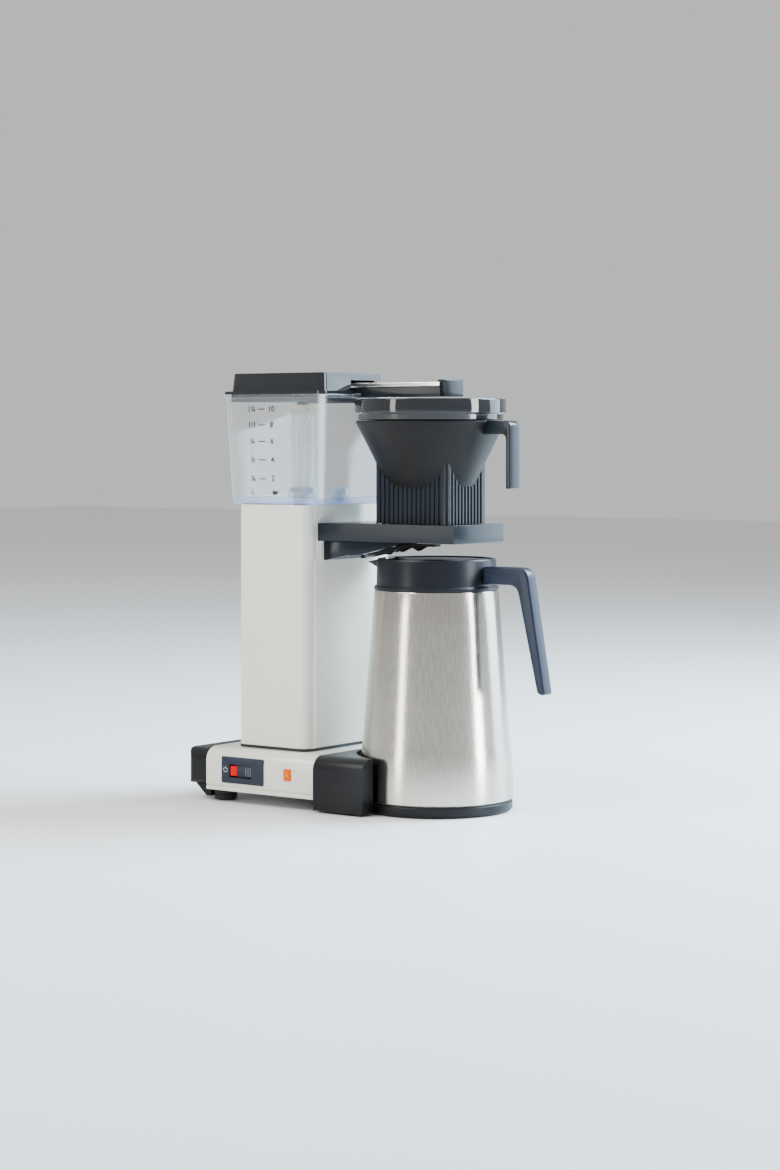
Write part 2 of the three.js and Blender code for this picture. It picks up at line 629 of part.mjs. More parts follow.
// Two cheeks below the bracket close to a prow. They carry the lever's pin.
function bracketGusset() {
  const { rootY, foldY, tipY, cheek, rootZ, foldZ, kneeX, kneeZ, tipX } = GUSSET;
  const { x0, rootX } = BRACKET;
  const top = BRACKET.z0 - GAP;
  const plan = (x, inset) => polygon([
    [x, -rootY + inset], [rootX, -foldY + inset], [tipX, -tipY + inset],
    [tipX, tipY - inset], [rootX, foldY - inset], [x, rootY - inset],
  ]);
  const side = polygon([
    [x0, top], [x0, rootZ], [rootX, foldZ], [kneeX, kneeZ], [tipX, top],
  ]);
  const wedge = prismZ(plan(x0, 0), rootZ - 2, top + 1).intersect(prismY(side, -60, 60));
  const channel = prismZ(plan(x0 + 4, cheek), rootZ - 4, top + 2);
  const throat = box(kneeX, tipX + 2, -tipY + cheek, tipY - cheek, rootZ, top + 2);
  return minus(wedge, channel, throat, crossRod(LEVER.pinR, -33, 33, LEVER.pinX, LEVER.pinZ));
}

// A hub on the pin, a thin plate that reaches under the valve, and a toothed blade above the carafe's lid.
function dripStopLever() {
  const { pinX, pinZ, pinR, topZ, hubZ, hubY, plateY, plateX, bladeY } = LEVER;
  const hub = box(pinX - 7, pinX + 10, -hubY, hubY, hubZ, topZ);
  const plate = box(pinX, plateX, -plateY, plateY, topZ - 2, topZ);
  const teeth = polygon([
    [-33, topZ], [-33, 219.1], [-30.2, 219.1], [-29, 222.6], [-2, 223.2], [5.3, 228.6], [11.5, 225.8],
    [22.9, 230.5], [30, 227.2], [42.2, topZ],
  ]);
  const blade = prismY(teeth, -bladeY, bladeY);
  return minus(plus(hub, plate, blade), crossRod(pinR + 0.25, -40, 40, pinX, pinZ));
}

function leverPin() {
  const { pinX, pinZ, pinR } = LEVER;
  return crossRod(pinR - 0.05, -32.7, 32.7, pinX, pinZ);
}

// The lever lifts this plunger, which opens the basket's drain.
function dripValve() {
  const { stemR, headR, z0, headZ, z1 } = VALVE;
  const profile = [[0, z0], [stemR, z0], [stemR, headZ], [headR, headZ], [headR, z1], [0, z1]];
  return turned(profile, BASKET.x, 0, COARSE);
}

// ---------------------------------------------------------------- filter basket
// A rectangular holder that grows into a round cone. Grow draws both forms in by a wall.
function basketForm(grow) {
  const { x, halfX, halfY, z0, z1, topR, blendZ, corner } = BASKET;
  const level = (t) => ellipse(
    x, halfX + (topR - halfX) * t - grow, halfY + (topR - halfY) * t - grow, blendZ + (z1 - blendZ) * t);
  const levels = [0, 0.25, 0.5, 0.75, 1].map(level);
  if (grow) levels.push(levels[4].map(([px, py]) => [px, py, z1 + 1]));
  const cone = loft([ellipse(x, halfX - 1 - grow, halfY - 1 - grow, z0 + 20), ...levels]);
  const plan = roundedRect(x - halfX + grow, x + halfX - grow, -halfY + grow, halfY - grow, corner);
  const holder = prismZ(plan, z0 + 1.25 * grow, blendZ + (grow ? 12 : 30), 3);
  return { cone, holder };
}

function brewBasket() {
  const { wall, x, z0 } = BASKET;
  const outer = basketForm(0);
  const inner = basketForm(wall);
  const drain = rod(VALVE.headR + 0.8, z0 - 1, z0 + 4, x);
  return minus(plus(outer.cone, outer.holder), inner.cone, inner.holder, drain);
}

function basketHandle() {
  const { x1, thick, halfY, z1, armZ, z0 } = BASKET_HANDLE;
  const side = roundedPath([
    [102.2, armZ], [x1 - thick, armZ, 5], [x1 - thick, z0, 1.5], [x1, z0, 1.5], [x1, z1, 7], [107.5, z1],
  ]);
  return prismY(side, -halfY, halfY, 6);
}

function basketLid() {
  const { z0, stepZ, z1, lowR, topR, wall } = BASKET_LID;
  const profile = [
    [0, z1], [topR - 1.6, z1], [topR - 0.4, z1 - 0.5], [topR, z1 - 1.8], [topR, stepZ], [lowR, stepZ],
    [lowR, z0], [lowR - wall, z0], [lowR - wall, z1 - wall], [0, z1 - wall],
  ];
  const slot = prismZ(roundedRect(BASKET.x - 30, BASKET.x + 30, -8, 8, 7.9), z1 - 6, z1 + 2, 6);
  return minus(turned(profile, BASKET.x), slot);
}

// ---------------------------------------------------------------- carafe
// Radius of the steel body: a straight taper that turns almost upright near the base.
function carafeRadius(z) {
  const { topR, topZ, kneeR, kneeZ, lowR, baseZ } = CARAFE;
  if (z >= kneeZ) return topR + ((kneeR - topR) * (topZ - z)) / (topZ - kneeZ);
  const t = (kneeZ - z) / (kneeZ - baseZ);
  return kneeR + (lowR - kneeR) * t * (2 - t);
}

const WALL_HEIGHTS = [28, 44, CARAFE.kneeZ];

function carafeBase() {
  const { baseR, baseZ, x } = CARAFE;
  return turned([
    [0, 0], [baseR - 1.8, 0], [baseR - 0.5, 0.6], [baseR, 2], [baseR, baseZ - GAP],
    [baseR - 4, baseZ - GAP], [baseR - 4, 3], [0, 3],
  ], x);
}

function carafeShell() {
  const { x, wall, baseZ, topZ } = CARAFE;
  const heights = [baseZ + GAP, ...WALL_HEIGHTS, topZ];
  const outside = heights.map((z) => [carafeRadius(z), z]);
  const inside = heights.map((z) => [carafeRadius(z) - wall, z]).reverse();
  return turned([
    [0, 4], [62.8, 4], [62.8, baseZ + GAP], ...outside, ...inside.slice(0, -1),
    [61.6, baseZ + 2], [61.6, 5.2], [0, 5.2],
  ], x);
}

function carafeLiner() {
  const { x, wall, topZ, space } = CARAFE;
  const heights = [...WALL_HEIGHTS, topZ - 1];
  const outside = heights.map((z) => [carafeRadius(z) - space, z]);
  const inside = heights.map((z) => [carafeRadius(z) - space - wall, z]).reverse();
  const profile = [[0, 12], [52, 12], [58, 14], ...outside, ...inside, [57.4, 15.2], [52, 13.2], [0, 13.2]];
  return turned(profile, x);
}

// The moulded neck: a collar with a pouring spout on the machine's side.
function carafeCollar() {
  const { z0, z1, lowR, r, rimR, bore, seatR } = COLLAR;
  const { reach, tipZ, rootR, halfY, wall } = SPOUT;
  const { x } = CARAFE;
  const ringBody = turned([
    [bore, z0], [lowR, z0], [lowR, z0 + 2.6], [r, z0 + 4], [r - 0.4, z1 - 1.6], [rimR, z1],
    [seatR + 0.4, z1], [seatR, 207], [bore, 205], [bore, z0],
  ], x);
  const lip = (inset, rise) => {
    const wide = halfY - inset;
    const low = SPOUT.z0 + inset;
    return loft([
      [[x - r + 4, -wide * 0.35, low], [x - r + 4, wide * 0.35, low], [x - r - 1 + inset, 0, low]],
      [[x - rootR, -wide, z1 + rise], [x - rootR, wide, z1 + rise],
        [x - reach + 1.4 * inset, 0, tipZ + rise]],
    ]);
  };
  const bowl = rod(seatR, 207.2, z1 + 3, x, 0, FINE);
  return minus(plus(ringBody, lip(0, 0)), lip(wall, 0.5), bowl);
}

// The lid turns in the neck. Two finger recesses and a centre hole let the coffee through.
function carafeLid() {
  const { x } = CARAFE;
  const disc = turned([
    [4.4, 207.6], [48.8, 207.6], [49, 219.4], [47.6, 220.4], [16, 219], [8, 214], [4.4, 214], [4.4, 207.6],
  ], x);
  const turn = THREE.MathUtils.degToRad(36.5);
  const recesses = [-29, 29].map((out) => rod(
    7.5, 213, 224, x + out * Math.cos(turn), out * Math.sin(turn)));
  return minus(disc, ...recesses);
}

function lidTube() {
  return ring(4.6, 6.4, 40, 207.2, CARAFE.x, 0, COARSE);
}

function lidSeal() {
  return ring(41, 45.6, 202.6, 207.2, CARAFE.x);
}

function carafeHandle() {
  const { halfY, z1, armZ, innerX, outerX, heelX, toeX, toeZ } = GRIP;
  const start = CARAFE.x + COLLAR.r + GAP;
  const side = roundedPath([
    [start, armZ], [innerX, armZ, 8], [heelX, toeZ + 1, 3.5], [toeX, toeZ, 4],
    [outerX, z1, 10], [start, z1],
  ]);
  return prismY(side, -halfY, halfY, 6);
}

// ---------------------------------------------------------------- assembly
add('base_housing', baseHousing(), 'cream');
add('base_end_cap', baseEndCap(), 'black');
add('base_plate', basePlate(), 'steel');
add('foot_front', foot(-1), 'rubber');
add('foot_rear', foot(1), 'rubber');
add('carafe_cradle', carafeCradle(), 'black');
add('cradle_pad_front', cradlePad(-1), 'rubber');
add('cradle_pad_rear', cradlePad(1), 'rubber');
add('cord_gland', cordGland(), 'black');

add('switch_panel', switchPanel(), 'navy');
add('switch_body', switchBody(), 'black');
add('rocker_red', rockerPiece(-12.2, -4.9), 'red');
add('rocker_key', rockerPiece(-4.8, 12.2), 'navy');
add('pilot_lamp', pilotLamp(), 'amber');

add('column_housing', columnHousing(), 'cream');
add('column_gasket', columnGasket(), 'rubber');
add('column_top_plate', columnTopPlate(), 'steel');

add('boiler_tube', boilerTube(), 'copper');
add('boiler_cap_top', boilerCap(BOILER.z1 + GAP, true), 'silicone');
add('boiler_cap_bottom', boilerCap(BOILER.z0 - GAP, false), 'silicone');
add('heating_element', heatingElement(), 'steel');
add('element_clamp', elementClamp(), 'steel');
add('thermostat', thermostat(), 'ivory');
add('thermal_fuse', thermalFuse(), 'ivory');
add('riser_hose', riserHose(), 'silicone');
add('riser_seal', riserSeal(), 'silicone');
add('glass_tube', glassTube(), 'glass');
add('tube_collar', tubeCollar(), 'ivory');
add('inlet_hose_upper', inletHoseUpper(), 'silicone');
add('check_valve', checkValve(), 'ivory');
add('inlet_hose_lower', inletHoseLower(), 'silicone');
add('terminal_block', terminalBlock(), 'ivory');
add('wire_loom', wireLoom(), 'rubber');

add('tank', tank(), 'clear');
add('outlet_strainer', outletStrainer(), 'clear');
add('tank_lid', tankLid(), 'gloss');

add('outlet_arm', outletArm(), 'slate');
add('arm_top_plate', armTopPlate(), 'bright');
add('arm_end_cap', armEndCap(), 'slate');

add('basket_bracket', basketBracket(), 'slate');
add('bracket_screw_front', bracketScrew(-1), 'steel');
add('bracket_screw_rear', bracketScrew(1), 'steel');
add('bracket_gusset', bracketGusset(), 'slate');
add('drip_stop_lever', dripStopLever(), 'black');
add('lever_pin', leverPin(), 'steel');
add('drip_valve', dripValve(), 'silicone');

add('brew_basket', brewBasket(), 'black');
add('basket_handle', basketHandle(), 'black');
add('basket_lid', basketLid(), 'gloss');

add('carafe_base', carafeBase(), 'black');
add('carafe_shell', carafeShell(), 'steel');
add('carafe_liner', carafeLiner(), 'steel');
add('carafe_collar', carafeCollar(), 'black');
add('carafe_handle', carafeHandle(), 'navy');
add('carafe_lid', carafeLid(), 'black');
add('lid_tube', lidTube(), 'black');
add('lid_seal', lidSeal(), 'silicone');

export default machine;
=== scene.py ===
# %% [markdown]
# # A drip coffee maker with a thermal carafe
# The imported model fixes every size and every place. This file dresses it: each visible piece is modelled
# again with round edges and fine detail, and each hidden one keeps its shape and gets a better finish.
# Everything is in metres; the front of the machine faces -Y and the carafe stands at its +X end.

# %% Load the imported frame
import json
import math

import bpy
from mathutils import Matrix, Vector


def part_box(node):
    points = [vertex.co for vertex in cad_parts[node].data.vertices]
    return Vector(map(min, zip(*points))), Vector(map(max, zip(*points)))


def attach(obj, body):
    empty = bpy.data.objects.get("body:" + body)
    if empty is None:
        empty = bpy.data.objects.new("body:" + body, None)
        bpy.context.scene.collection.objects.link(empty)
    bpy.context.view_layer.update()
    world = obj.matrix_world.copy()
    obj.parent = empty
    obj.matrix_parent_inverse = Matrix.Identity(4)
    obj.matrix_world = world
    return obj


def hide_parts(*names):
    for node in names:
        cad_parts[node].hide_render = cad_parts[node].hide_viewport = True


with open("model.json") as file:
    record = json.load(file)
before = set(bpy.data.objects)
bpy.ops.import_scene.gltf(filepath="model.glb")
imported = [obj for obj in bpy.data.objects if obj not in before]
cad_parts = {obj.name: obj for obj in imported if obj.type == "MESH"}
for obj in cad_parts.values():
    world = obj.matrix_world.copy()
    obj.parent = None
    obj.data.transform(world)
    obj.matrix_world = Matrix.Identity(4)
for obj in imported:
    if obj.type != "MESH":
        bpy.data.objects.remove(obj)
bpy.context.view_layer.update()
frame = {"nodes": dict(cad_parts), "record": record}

MM = 0.001
TURN = 2 * math.pi

# %% [markdown]
# ## Camera
# A level camera with a long lens keeps the column's edges upright, as in catalogue pictures. It stands well
# to the right of the front, so one sees the switch and the carafe's handle together. The lens is shifted
# down instead of tilted, which is how a view camera takes in the base without leaning the verticals.

# %% Camera
EYE_LEVEL = 0.3307
EYE = Vector((1.3871, -1.8742, EYE_LEVEL))
AZIMUTH = math.radians(36.5)

camera_data = bpy.data.cameras.new("camera")
camera_data.lens = 79.85
camera_data.shift_y = -0.1282
camera = bpy.data.objects.new("camera", camera_data)
camera.location = EYE
camera.rotation_euler = (math.pi / 2, 0, AZIMUTH)
bpy.context.scene.collection.objects.link(camera)
bpy.context.scene.camera = camera
print("camera at", [round(v, 3) for v in EYE])

# %% [markdown]
# ## Floor and light
# A kitchen with its windows on the right. The key is high and warm, from the front left. A narrow window at
# the side draws the bright band on the brushed jug, a wider one further back shows in the outer faces of both
# handles, and a skylight above it sends cool light down the column's fluted side. A thin strip on the left
# draws the second band. The bands on a brushed cylinder are reflections of the room, so the dark gaps between
# the lights matter as much as the lights do.


# %% Floor and lights
def area_light(name, place, target, width, height, power, colour):
    data = bpy.data.lights.new(name, "AREA")
    data.shape = "RECTANGLE"
    data.size = width
    data.size_y = height
    data.energy = power
    data.color = colour
    light = bpy.data.objects.new(name, data)
    light.location = place
    light.rotation_euler = (Vector(target) - Vector(place)).to_track_quat("-Z", "Y").to_euler()
    bpy.context.scene.collection.objects.link(light)


bpy.ops.object.select_all(action="DESELECT")
bpy.ops.mesh.primitive_plane_add(size=14, location=(0, 0, -0.0004))
floor = bpy.context.object
floor.name = "floor"
floor_finish = bpy.data.materials.new("pale_floor")
floor_finish.use_nodes = True
floor_shader = floor_finish.node_tree.nodes["Principled BSDF"]
floor_shader.inputs["Base Color"].default_value = (0.80, 0.80, 0.79, 1)
floor_shader.inputs["Roughness"].default_value = 0.45
floor.data.materials.append(floor_finish)

world = bpy.data.worlds.new("room")
world.use_nodes = True
world.node_tree.nodes["Background"].inputs["Color"].default_value = (0.88, 0.89, 0.90, 1)
world.node_tree.nodes["Background"].inputs["Strength"].default_value = 0.74
bpy.context.scene.world = world

area_light("key", (-1.0, -1.7, 2.3), (-0.05, 0, 0.2), 1.5, 1.2, 82, (1.0, 0.985, 0.95))
area_light("window", (1.58, 0.42, 0.50), (0.02, 0, 0.18), 0.34, 1.2, 34, (0.90, 0.95, 1.0))
area_light("rear_window", (0.84, 1.38, 0.62), (-0.04, 0, 0.22), 0.80, 1.2, 21, (0.70, 0.86, 1.0))
area_light("skylight", (0.80, 1.10, 1.45), (-0.05, 0, 0.15), 1.0, 1.0, 165, (0.58, 0.80, 1.0))
area_light("overhead", (0.2, -0.1, 2.1), (0, 0, 0), 1.6, 1.6, 16, (1.0, 1.0, 1.0))
area_light("strip", (-0.72, -1.85, 0.45), (0.05, 0, 0.15), 0.3, 0.9, 9, (1.0, 0.98, 0.94))
print("six area lights:", [light.name for light in bpy.data.lights])

# %% [markdown]
# ## Finishes
# No real surface is one flat colour. Paint has a faint orange peel, mouldings have a fine grain and a few
# lighter rubbed patches, brushed steel has thousands of short scratches that all run one way. Each finish
# below starts from one helper, which varies the colour and the roughness with soft noise and adds a fine
# bump. The noise reads Object coordinates, so it stays put on the piece and has the same scale everywhere.


# %% A base for every finish
def finish(name, colour, rough, metal=0.0, spread=0.06, grain=900.0, bump=0.05, stretch=(1, 1, 1), **sockets):
    """A finish whose colour and roughness drift a little, with a fine bump, on Object coordinates."""
    made = bpy.data.materials.new(name)
    made.use_nodes = True
    nodes, links = made.node_tree.nodes, made.node_tree.links
    shader = nodes["Principled BSDF"]
    place = nodes.new("ShaderNodeTexCoord")
    scale = nodes.new("ShaderNodeMapping")
    scale.inputs["Scale"].default_value = stretch
    links.new(place.outputs["Object"], scale.inputs["Vector"])

    drift = nodes.new("ShaderNodeTexNoise")
    drift.inputs["Scale"].default_value = 22.0
    drift.inputs["Detail"].default_value = 5.0
    links.new(place.outputs["Object"], drift.inputs["Vector"])
    fine = nodes.new("ShaderNodeTexNoise")
    fine.inputs["Scale"].default_value = grain
    fine.inputs["Detail"].default_value = 3.0
    links.new(scale.outputs["Vector"], fine.inputs["Vector"])

    tint = nodes.new("ShaderNodeValToRGB")
    dark = [channel * (1 - spread) for channel in colour[:3]]
    light = [min(1.0, channel * (1 + spread) + 0.004) for channel in colour[:3]]
    tint.color_ramp.elements[0].position = 0.3
    tint.color_ramp.elements[1].position = 0.7
    tint.color_ramp.elements[0].color = (*dark, 1)
    tint.color_ramp.elements[1].color = (*light, 1)
    links.new(drift.outputs["Fac"], tint.inputs["Fac"])
    links.new(tint.outputs["Color"], shader.inputs["Base Color"])

    gloss = nodes.new("ShaderNodeMapRange")
    gloss.inputs["From Min"].default_value = 0.25
    gloss.inputs["From Max"].default_value = 0.75
    gloss.inputs["To Min"].default_value = max(0.0, rough * 0.86)
    gloss.inputs["To Max"].default_value = min(1.0, rough * 1.16)
    links.new(fine.outputs["Fac"], gloss.inputs["Value"])
    links.new(gloss.outputs["Result"], shader.inputs["Roughness"])

    relief = nodes.new("ShaderNodeBump")
    relief.inputs["Strength"].default_value = bump
    relief.inputs["Distance"].default_value = 0.0002
    links.new(fine.outputs["Fac"], relief.inputs["Height"])
    links.new(relief.outputs["Normal"], shader.inputs["Normal"])

    shader.inputs["Metallic"].default_value = metal
    for socket, value in sockets.items():
        shader.inputs[socket.replace("_", " ")].default_value = value
    return made


# %% [markdown]
# ### Paint, plastics and rubber
# The base and column are satin cream paint on aluminium, so a thin clear coat lies over a softer colour.
# The cradle and basket are grained mouldings, the bracket and arm a smoother slate, and both lids are
# polished. Only the bump and roughness tell these blacks apart, so each is a finish of its own.

# %% Opaque finishes
cream_paint = finish("cream_paint", (0.72, 0.70, 0.615), 0.34, spread=0.015, grain=420, bump=0.03,
                     Coat_Weight=0.4, Coat_Roughness=0.14)
grained_black = finish("grained_black", (0.0075, 0.0078, 0.0095), 0.36, spread=0.10, grain=1500, bump=0.10,
                       Specular_IOR_Level=0.15)
basket_black = finish("basket_black", (0.0055, 0.0045, 0.0048), 0.46, spread=0.10, grain=1700, bump=0.10,
                      Specular_IOR_Level=0.15)
slate_plastic = finish("slate_plastic", (0.008, 0.0115, 0.0165), 0.20, spread=0.08, grain=1100, bump=0.04,
                       Specular_IOR_Level=0.19)
polished_black = finish("polished_black", (0.008, 0.009, 0.0115), 0.06, spread=0.05, grain=500, bump=0.01,
                        Specular_IOR_Level=0.4, Coat_Weight=0.3, Coat_Roughness=0.03)
collar_black = finish("collar_black", (0.0055, 0.0065, 0.0105), 0.32, spread=0.08, grain=1300, bump=0.06,
                      Specular_IOR_Level=0.2)
navy_satin = finish("navy_satin", (0.0045, 0.0110, 0.027), 0.34, spread=0.08, grain=1200, bump=0.05,
                    Specular_IOR_Level=0.3)
panel_navy = finish("panel_navy", (0.009, 0.0155, 0.033), 0.36, spread=0.06, grain=1200, bump=0.06,
                    Specular_IOR_Level=0.3)
key_grey = finish("key_grey", (0.085, 0.085, 0.110), 0.42, spread=0.06, grain=1200, bump=0.08)
foot_rubber = finish("foot_rubber", (0.013, 0.013, 0.014), 0.78, spread=0.20, grain=1600, bump=0.35)
ink_black = finish("ink_black", (0.012, 0.012, 0.013), 0.55, spread=0.10, grain=2500, bump=0.05)
ink_white = finish("ink_white", (0.80, 0.82, 0.86), 0.45, spread=0.03, grain=2500, bump=0.05)
ivory_plastic = finish("ivory_plastic", (0.72, 0.62, 0.34), 0.42, spread=0.06, grain=900, bump=0.06)
milky_silicone = finish("milky_silicone", (0.70, 0.68, 0.62), 0.55, spread=0.05, grain=700, bump=0.10,
                        Subsurface_Weight=0.2)
print("opaque finishes made")

# %% [markdown]
# ### Metals
# Brushing on the carafe runs up and down the body. A noise that is squeezed around the body and stretched
# along it draws those lines, and the anisotropic highlight spreads across them. The plate on the arm is
# brushed along its length, so its noise is stretched along X, and drawn copper has its lines along Z.


# %% Metals
def brushed(name, colour, rough, spread, grain, stretch):
    """Metal whose tone changes from scratch to scratch, instead of drifting in soft clouds."""
    made = finish(name, colour, rough, metal=1.0, spread=spread, grain=grain, bump=0.22, stretch=stretch,
                  Anisotropic=0.45, Anisotropic_Rotation=0.25)
    nodes, links = made.node_tree.nodes, made.node_tree.links
    links.new(nodes["Noise Texture.001"].outputs["Fac"], nodes["Color Ramp"].inputs["Fac"])
    return made


brushed_steel = brushed("brushed_steel", (0.55, 0.52, 0.455), 0.20, 0.075, 1000, (1, 1, 0.0015))
inner_steel = finish("inner_steel", (0.56, 0.555, 0.55), 0.22, metal=1.0, spread=0.05, grain=500, bump=0.08)
bright_plate = finish("bright_plate", (0.90, 0.86, 0.80), 0.20, metal=1.0, spread=0.03, grain=700, bump=0.10,
                      stretch=(0.02, 1, 1))
drawn_copper = finish("drawn_copper", (0.70, 0.33, 0.19), 0.26, metal=1.0, spread=0.14, grain=500, bump=0.12,
                      stretch=(1, 1, 0.05))

# %% [markdown]
# ### Clear plastic and glass
# The tank is thick clear plastic and the riser is glass. Light that is truly bent by four walls in a row
# takes very many samples to settle, so here it passes straight through, and three masks mix a pale colour
# into it: where a wall is seen edge on and in the round upright corners this is painted light, a painted
# highlight for the room's light that the bent walls would gather there, and in the thick floor it is a blue
# tint. A glossy layer on top mirrors more and more towards a glancing view, as all clear materials do. Three
# small helpers keep the wiring between the nodes short.


# %% Node helpers
def arithmetic(tree, operation, first, second=0.0):
    """One step of arithmetic in a finish. Each term is a socket or a plain number."""
    step = tree.nodes.new("ShaderNodeMath")
    step.operation = operation
    for slot, term in zip(step.inputs, (first, second)):
        if isinstance(term, float):
            slot.default_value = term
        else:
            tree.links.new(term, slot)
    return step.outputs["Value"]


def remap(tree, value, start, end, low, high):
    """Stretch a value from one range to another and clamp it there."""
    ranged = tree.nodes.new("ShaderNodeMapRange")
    for socket, number in (("From Min", start), ("From Max", end), ("To Min", low), ("To Max", high)):
        ranged.inputs[socket].default_value = number
    tree.links.new(value, ranged.inputs["Value"])
    return ranged.outputs["Result"]


def blend_shaders(tree, amount, first, second):
    """The first shader where the amount is 0, the second where it is 1."""
    mixed = tree.nodes.new("ShaderNodeMixShader")
    tree.links.new(amount, mixed.inputs["Fac"])
    tree.links.new(first, mixed.inputs[1])
    tree.links.new(second, mixed.inputs[2])
    return mixed.outputs["Shader"]


# %% Clear plastic and glass
FLOOR_TINT_SHARE = 0.40
CORNER_HIGHLIGHT_FALL_OFF = 2.5
GLANCE_FALL_OFF = 4.0


def clear_finish(name, tint, edge, least, corners, floor_top=0.0, floor_colour=(1, 1, 1)):
    """Clear material: light goes straight through, it shines, and edge on and in its corners a pale colour is
    painted in as painted light.
    """
    # edge is the pale colour that is mixed in; at the edges and corners it is painted light, and where least
    # is high it frosts the whole piece.
    made = finish(name, edge, 0.3, spread=0.03, grain=40, bump=0.01)
    tree = made.node_tree
    nodes, links = tree.nodes, tree.links
    tint_and_painted_light_shader = nodes["Principled BSDF"]
    place = nodes.new("ShaderNodeTexCoord")
    spot = nodes.new("ShaderNodeSeparateXYZ")
    links.new(place.outputs["Object"], spot.inputs["Vector"])
    in_floor = remap(tree, spot.outputs["Z"], floor_top + 0.4 * MM, floor_top - 1.2 * MM, 0.0, 1.0)
    colour = nodes.new("ShaderNodeMixRGB")
    colour.inputs["Color2"].default_value = (*floor_colour, 1)
    links.new(in_floor, colour.inputs["Fac"])
    links.new(nodes["Color Ramp"].outputs["Color"], colour.inputs["Color1"])
    links.new(colour.outputs["Color"], tint_and_painted_light_shader.inputs["Base Color"])

    # Painted light: where a wall is seen edge on, a pale colour stands for the light that the wall bends
    # towards the eye.
    slant = nodes.new("ShaderNodeLayerWeight")
    slant.inputs["Blend"].default_value = 0.28
    painted_edge_light = remap(tree, slant.outputs["Facing"], 0.40, 1.0, least, 0.85)
    floor_tint_share = arithmetic(tree, "MULTIPLY", in_floor, FLOOR_TINT_SHARE)
    edge_light_or_floor = arithmetic(tree, "MAXIMUM", painted_edge_light, floor_tint_share)

    # Painted highlight: in the round upright corners, where the normal points between X and Y, a pale colour
    # stands for the room's light that the corners gather.
    facing = nodes.new("ShaderNodeSeparateXYZ")
    links.new(place.outputs["Normal"], facing.inputs["Vector"])
    crossed = arithmetic(tree, "MULTIPLY", facing.outputs["X"], facing.outputs["Y"])
    diagonal = arithmetic(tree, "MULTIPLY", arithmetic(tree, "ABSOLUTE", crossed), 2.0)
    narrowed = arithmetic(tree, "POWER", diagonal, CORNER_HIGHLIGHT_FALL_OFF)
    painted_corner_highlight = arithmetic(tree, "MULTIPLY", narrowed, corners)
    tint_and_painted_light = arithmetic(tree, "MAXIMUM", edge_light_or_floor, painted_corner_highlight)

    through = nodes.new("ShaderNodeBsdfTransparent")
    through.inputs["Color"].default_value = (*tint, 1)
    body = blend_shaders(tree, tint_and_painted_light, through.outputs["BSDF"], tint_and_painted_light_shader.outputs["BSDF"])
    shine = nodes.new("ShaderNodeBsdfGlossy")
    shine.inputs["Roughness"].default_value = 0.09
    glance = nodes.new("ShaderNodeLayerWeight")
    steep = arithmetic(tree, "POWER", glance.outputs["Facing"], GLANCE_FALL_OFF)
    mirror = remap(tree, steep, 0.0, 1.0, 0.045, 0.75)
    whole = blend_shaders(tree, mirror, body, shine.outputs["BSDF"])
    links.new(whole, nodes["Material Output"].inputs["Surface"])
    return made


TANK_FLOOR = 6 * MM
tank_floor_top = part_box("tank")[0][2] + TANK_FLOOR
# The pale colour and the corner amount (0.55, 0.4, 0.45) set the painted highlight at edges and corners; the
# tank's floor gets a blue tint.
clear_plastic = clear_finish("clear_plastic", (0.985, 0.990, 0.995), (0.90, 0.95, 0.99), 0.012, 0.55,
                             tank_floor_top, (0.33, 0.50, 0.82))
strainer_plastic = clear_finish("strainer_plastic", (0.90, 0.94, 0.98), (0.62, 0.76, 0.92), 0.22, 0.4)
clear_glass = clear_finish("clear_glass", (0.97, 0.985, 0.985), (0.92, 0.97, 0.95), 0.06, 0.45)
print("three clear finishes; the tank's floor ends at", round(tank_floor_top, 4))

# %% [markdown]
# ### Glowing lenses
# The pilot lamp is a translucent lens with a small bulb behind it: its middle is yellow, a dark ring of
# moulded steps lies around that, and the rim is orange. The red end of the rocker is tinted plastic, lit in
# the same way. The distance from the lens's centre drives a colour ramp, and the ramp feeds the emission.


# %% Glowing lenses
def glowing(name, colour, core, centre, reach, strength):
    """A lens with a bright middle, a darker ring around it, and its own colour out to the rim."""
    deep = [channel * 0.5 for channel in colour]
    made = finish(name, deep, 0.45, spread=0.05, grain=900, bump=0.05, Specular_IOR_Level=0.12)
    nodes, links = made.node_tree.nodes, made.node_tree.links
    shader = nodes["Principled BSDF"]
    place = nodes.new("ShaderNodeTexCoord")
    offset = nodes.new("ShaderNodeVectorMath")
    offset.operation = "DISTANCE"
    offset.inputs[1].default_value = centre
    links.new(place.outputs["Object"], offset.inputs[0])
    fade = nodes.new("ShaderNodeMapRange")
    fade.inputs["From Max"].default_value = reach
    fade.inputs["To Min"].default_value = 0.0
    links.new(offset.outputs["Value"], fade.inputs["Value"])
    glow = nodes.new("ShaderNodeValToRGB")
    glow.color_ramp.elements[0].color = (*core, 1)
    glow.color_ramp.elements[1].color = (*colour, 1)
    for position, shade in ((0.26, core), (0.36, [channel * 0.35 for channel in colour]), (0.50, colour)):
        glow.color_ramp.elements.new(position).color = (*shade, 1)
    links.new(fade.outputs["Result"], glow.inputs["Fac"])
    links.new(glow.outputs["Color"], shader.inputs["Emission Color"])
    shader.inputs["Emission Strength"].default_value = strength
    return made


def middle(node):
    low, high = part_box(node)
    return (Vector(low) + Vector(high)) / 2


lamp_centre = middle("pilot_lamp")
lamp_centre.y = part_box("pilot_lamp")[0][1]
amber_lens = glowing("amber_lens", (0.86, 0.15, 0.0), (1.0, 0.60, 0.02), lamp_centre, 5.5 * MM, 0.55)
red_centre = middle("rocker_red")
red_key = glowing("red_key", (0.80, 0.006, 0.006), (0.95, 0.03, 0.02), red_centre, 7 * MM, 0.5)
print("lamp centre", [round(v, 4) for v in lamp_centre])

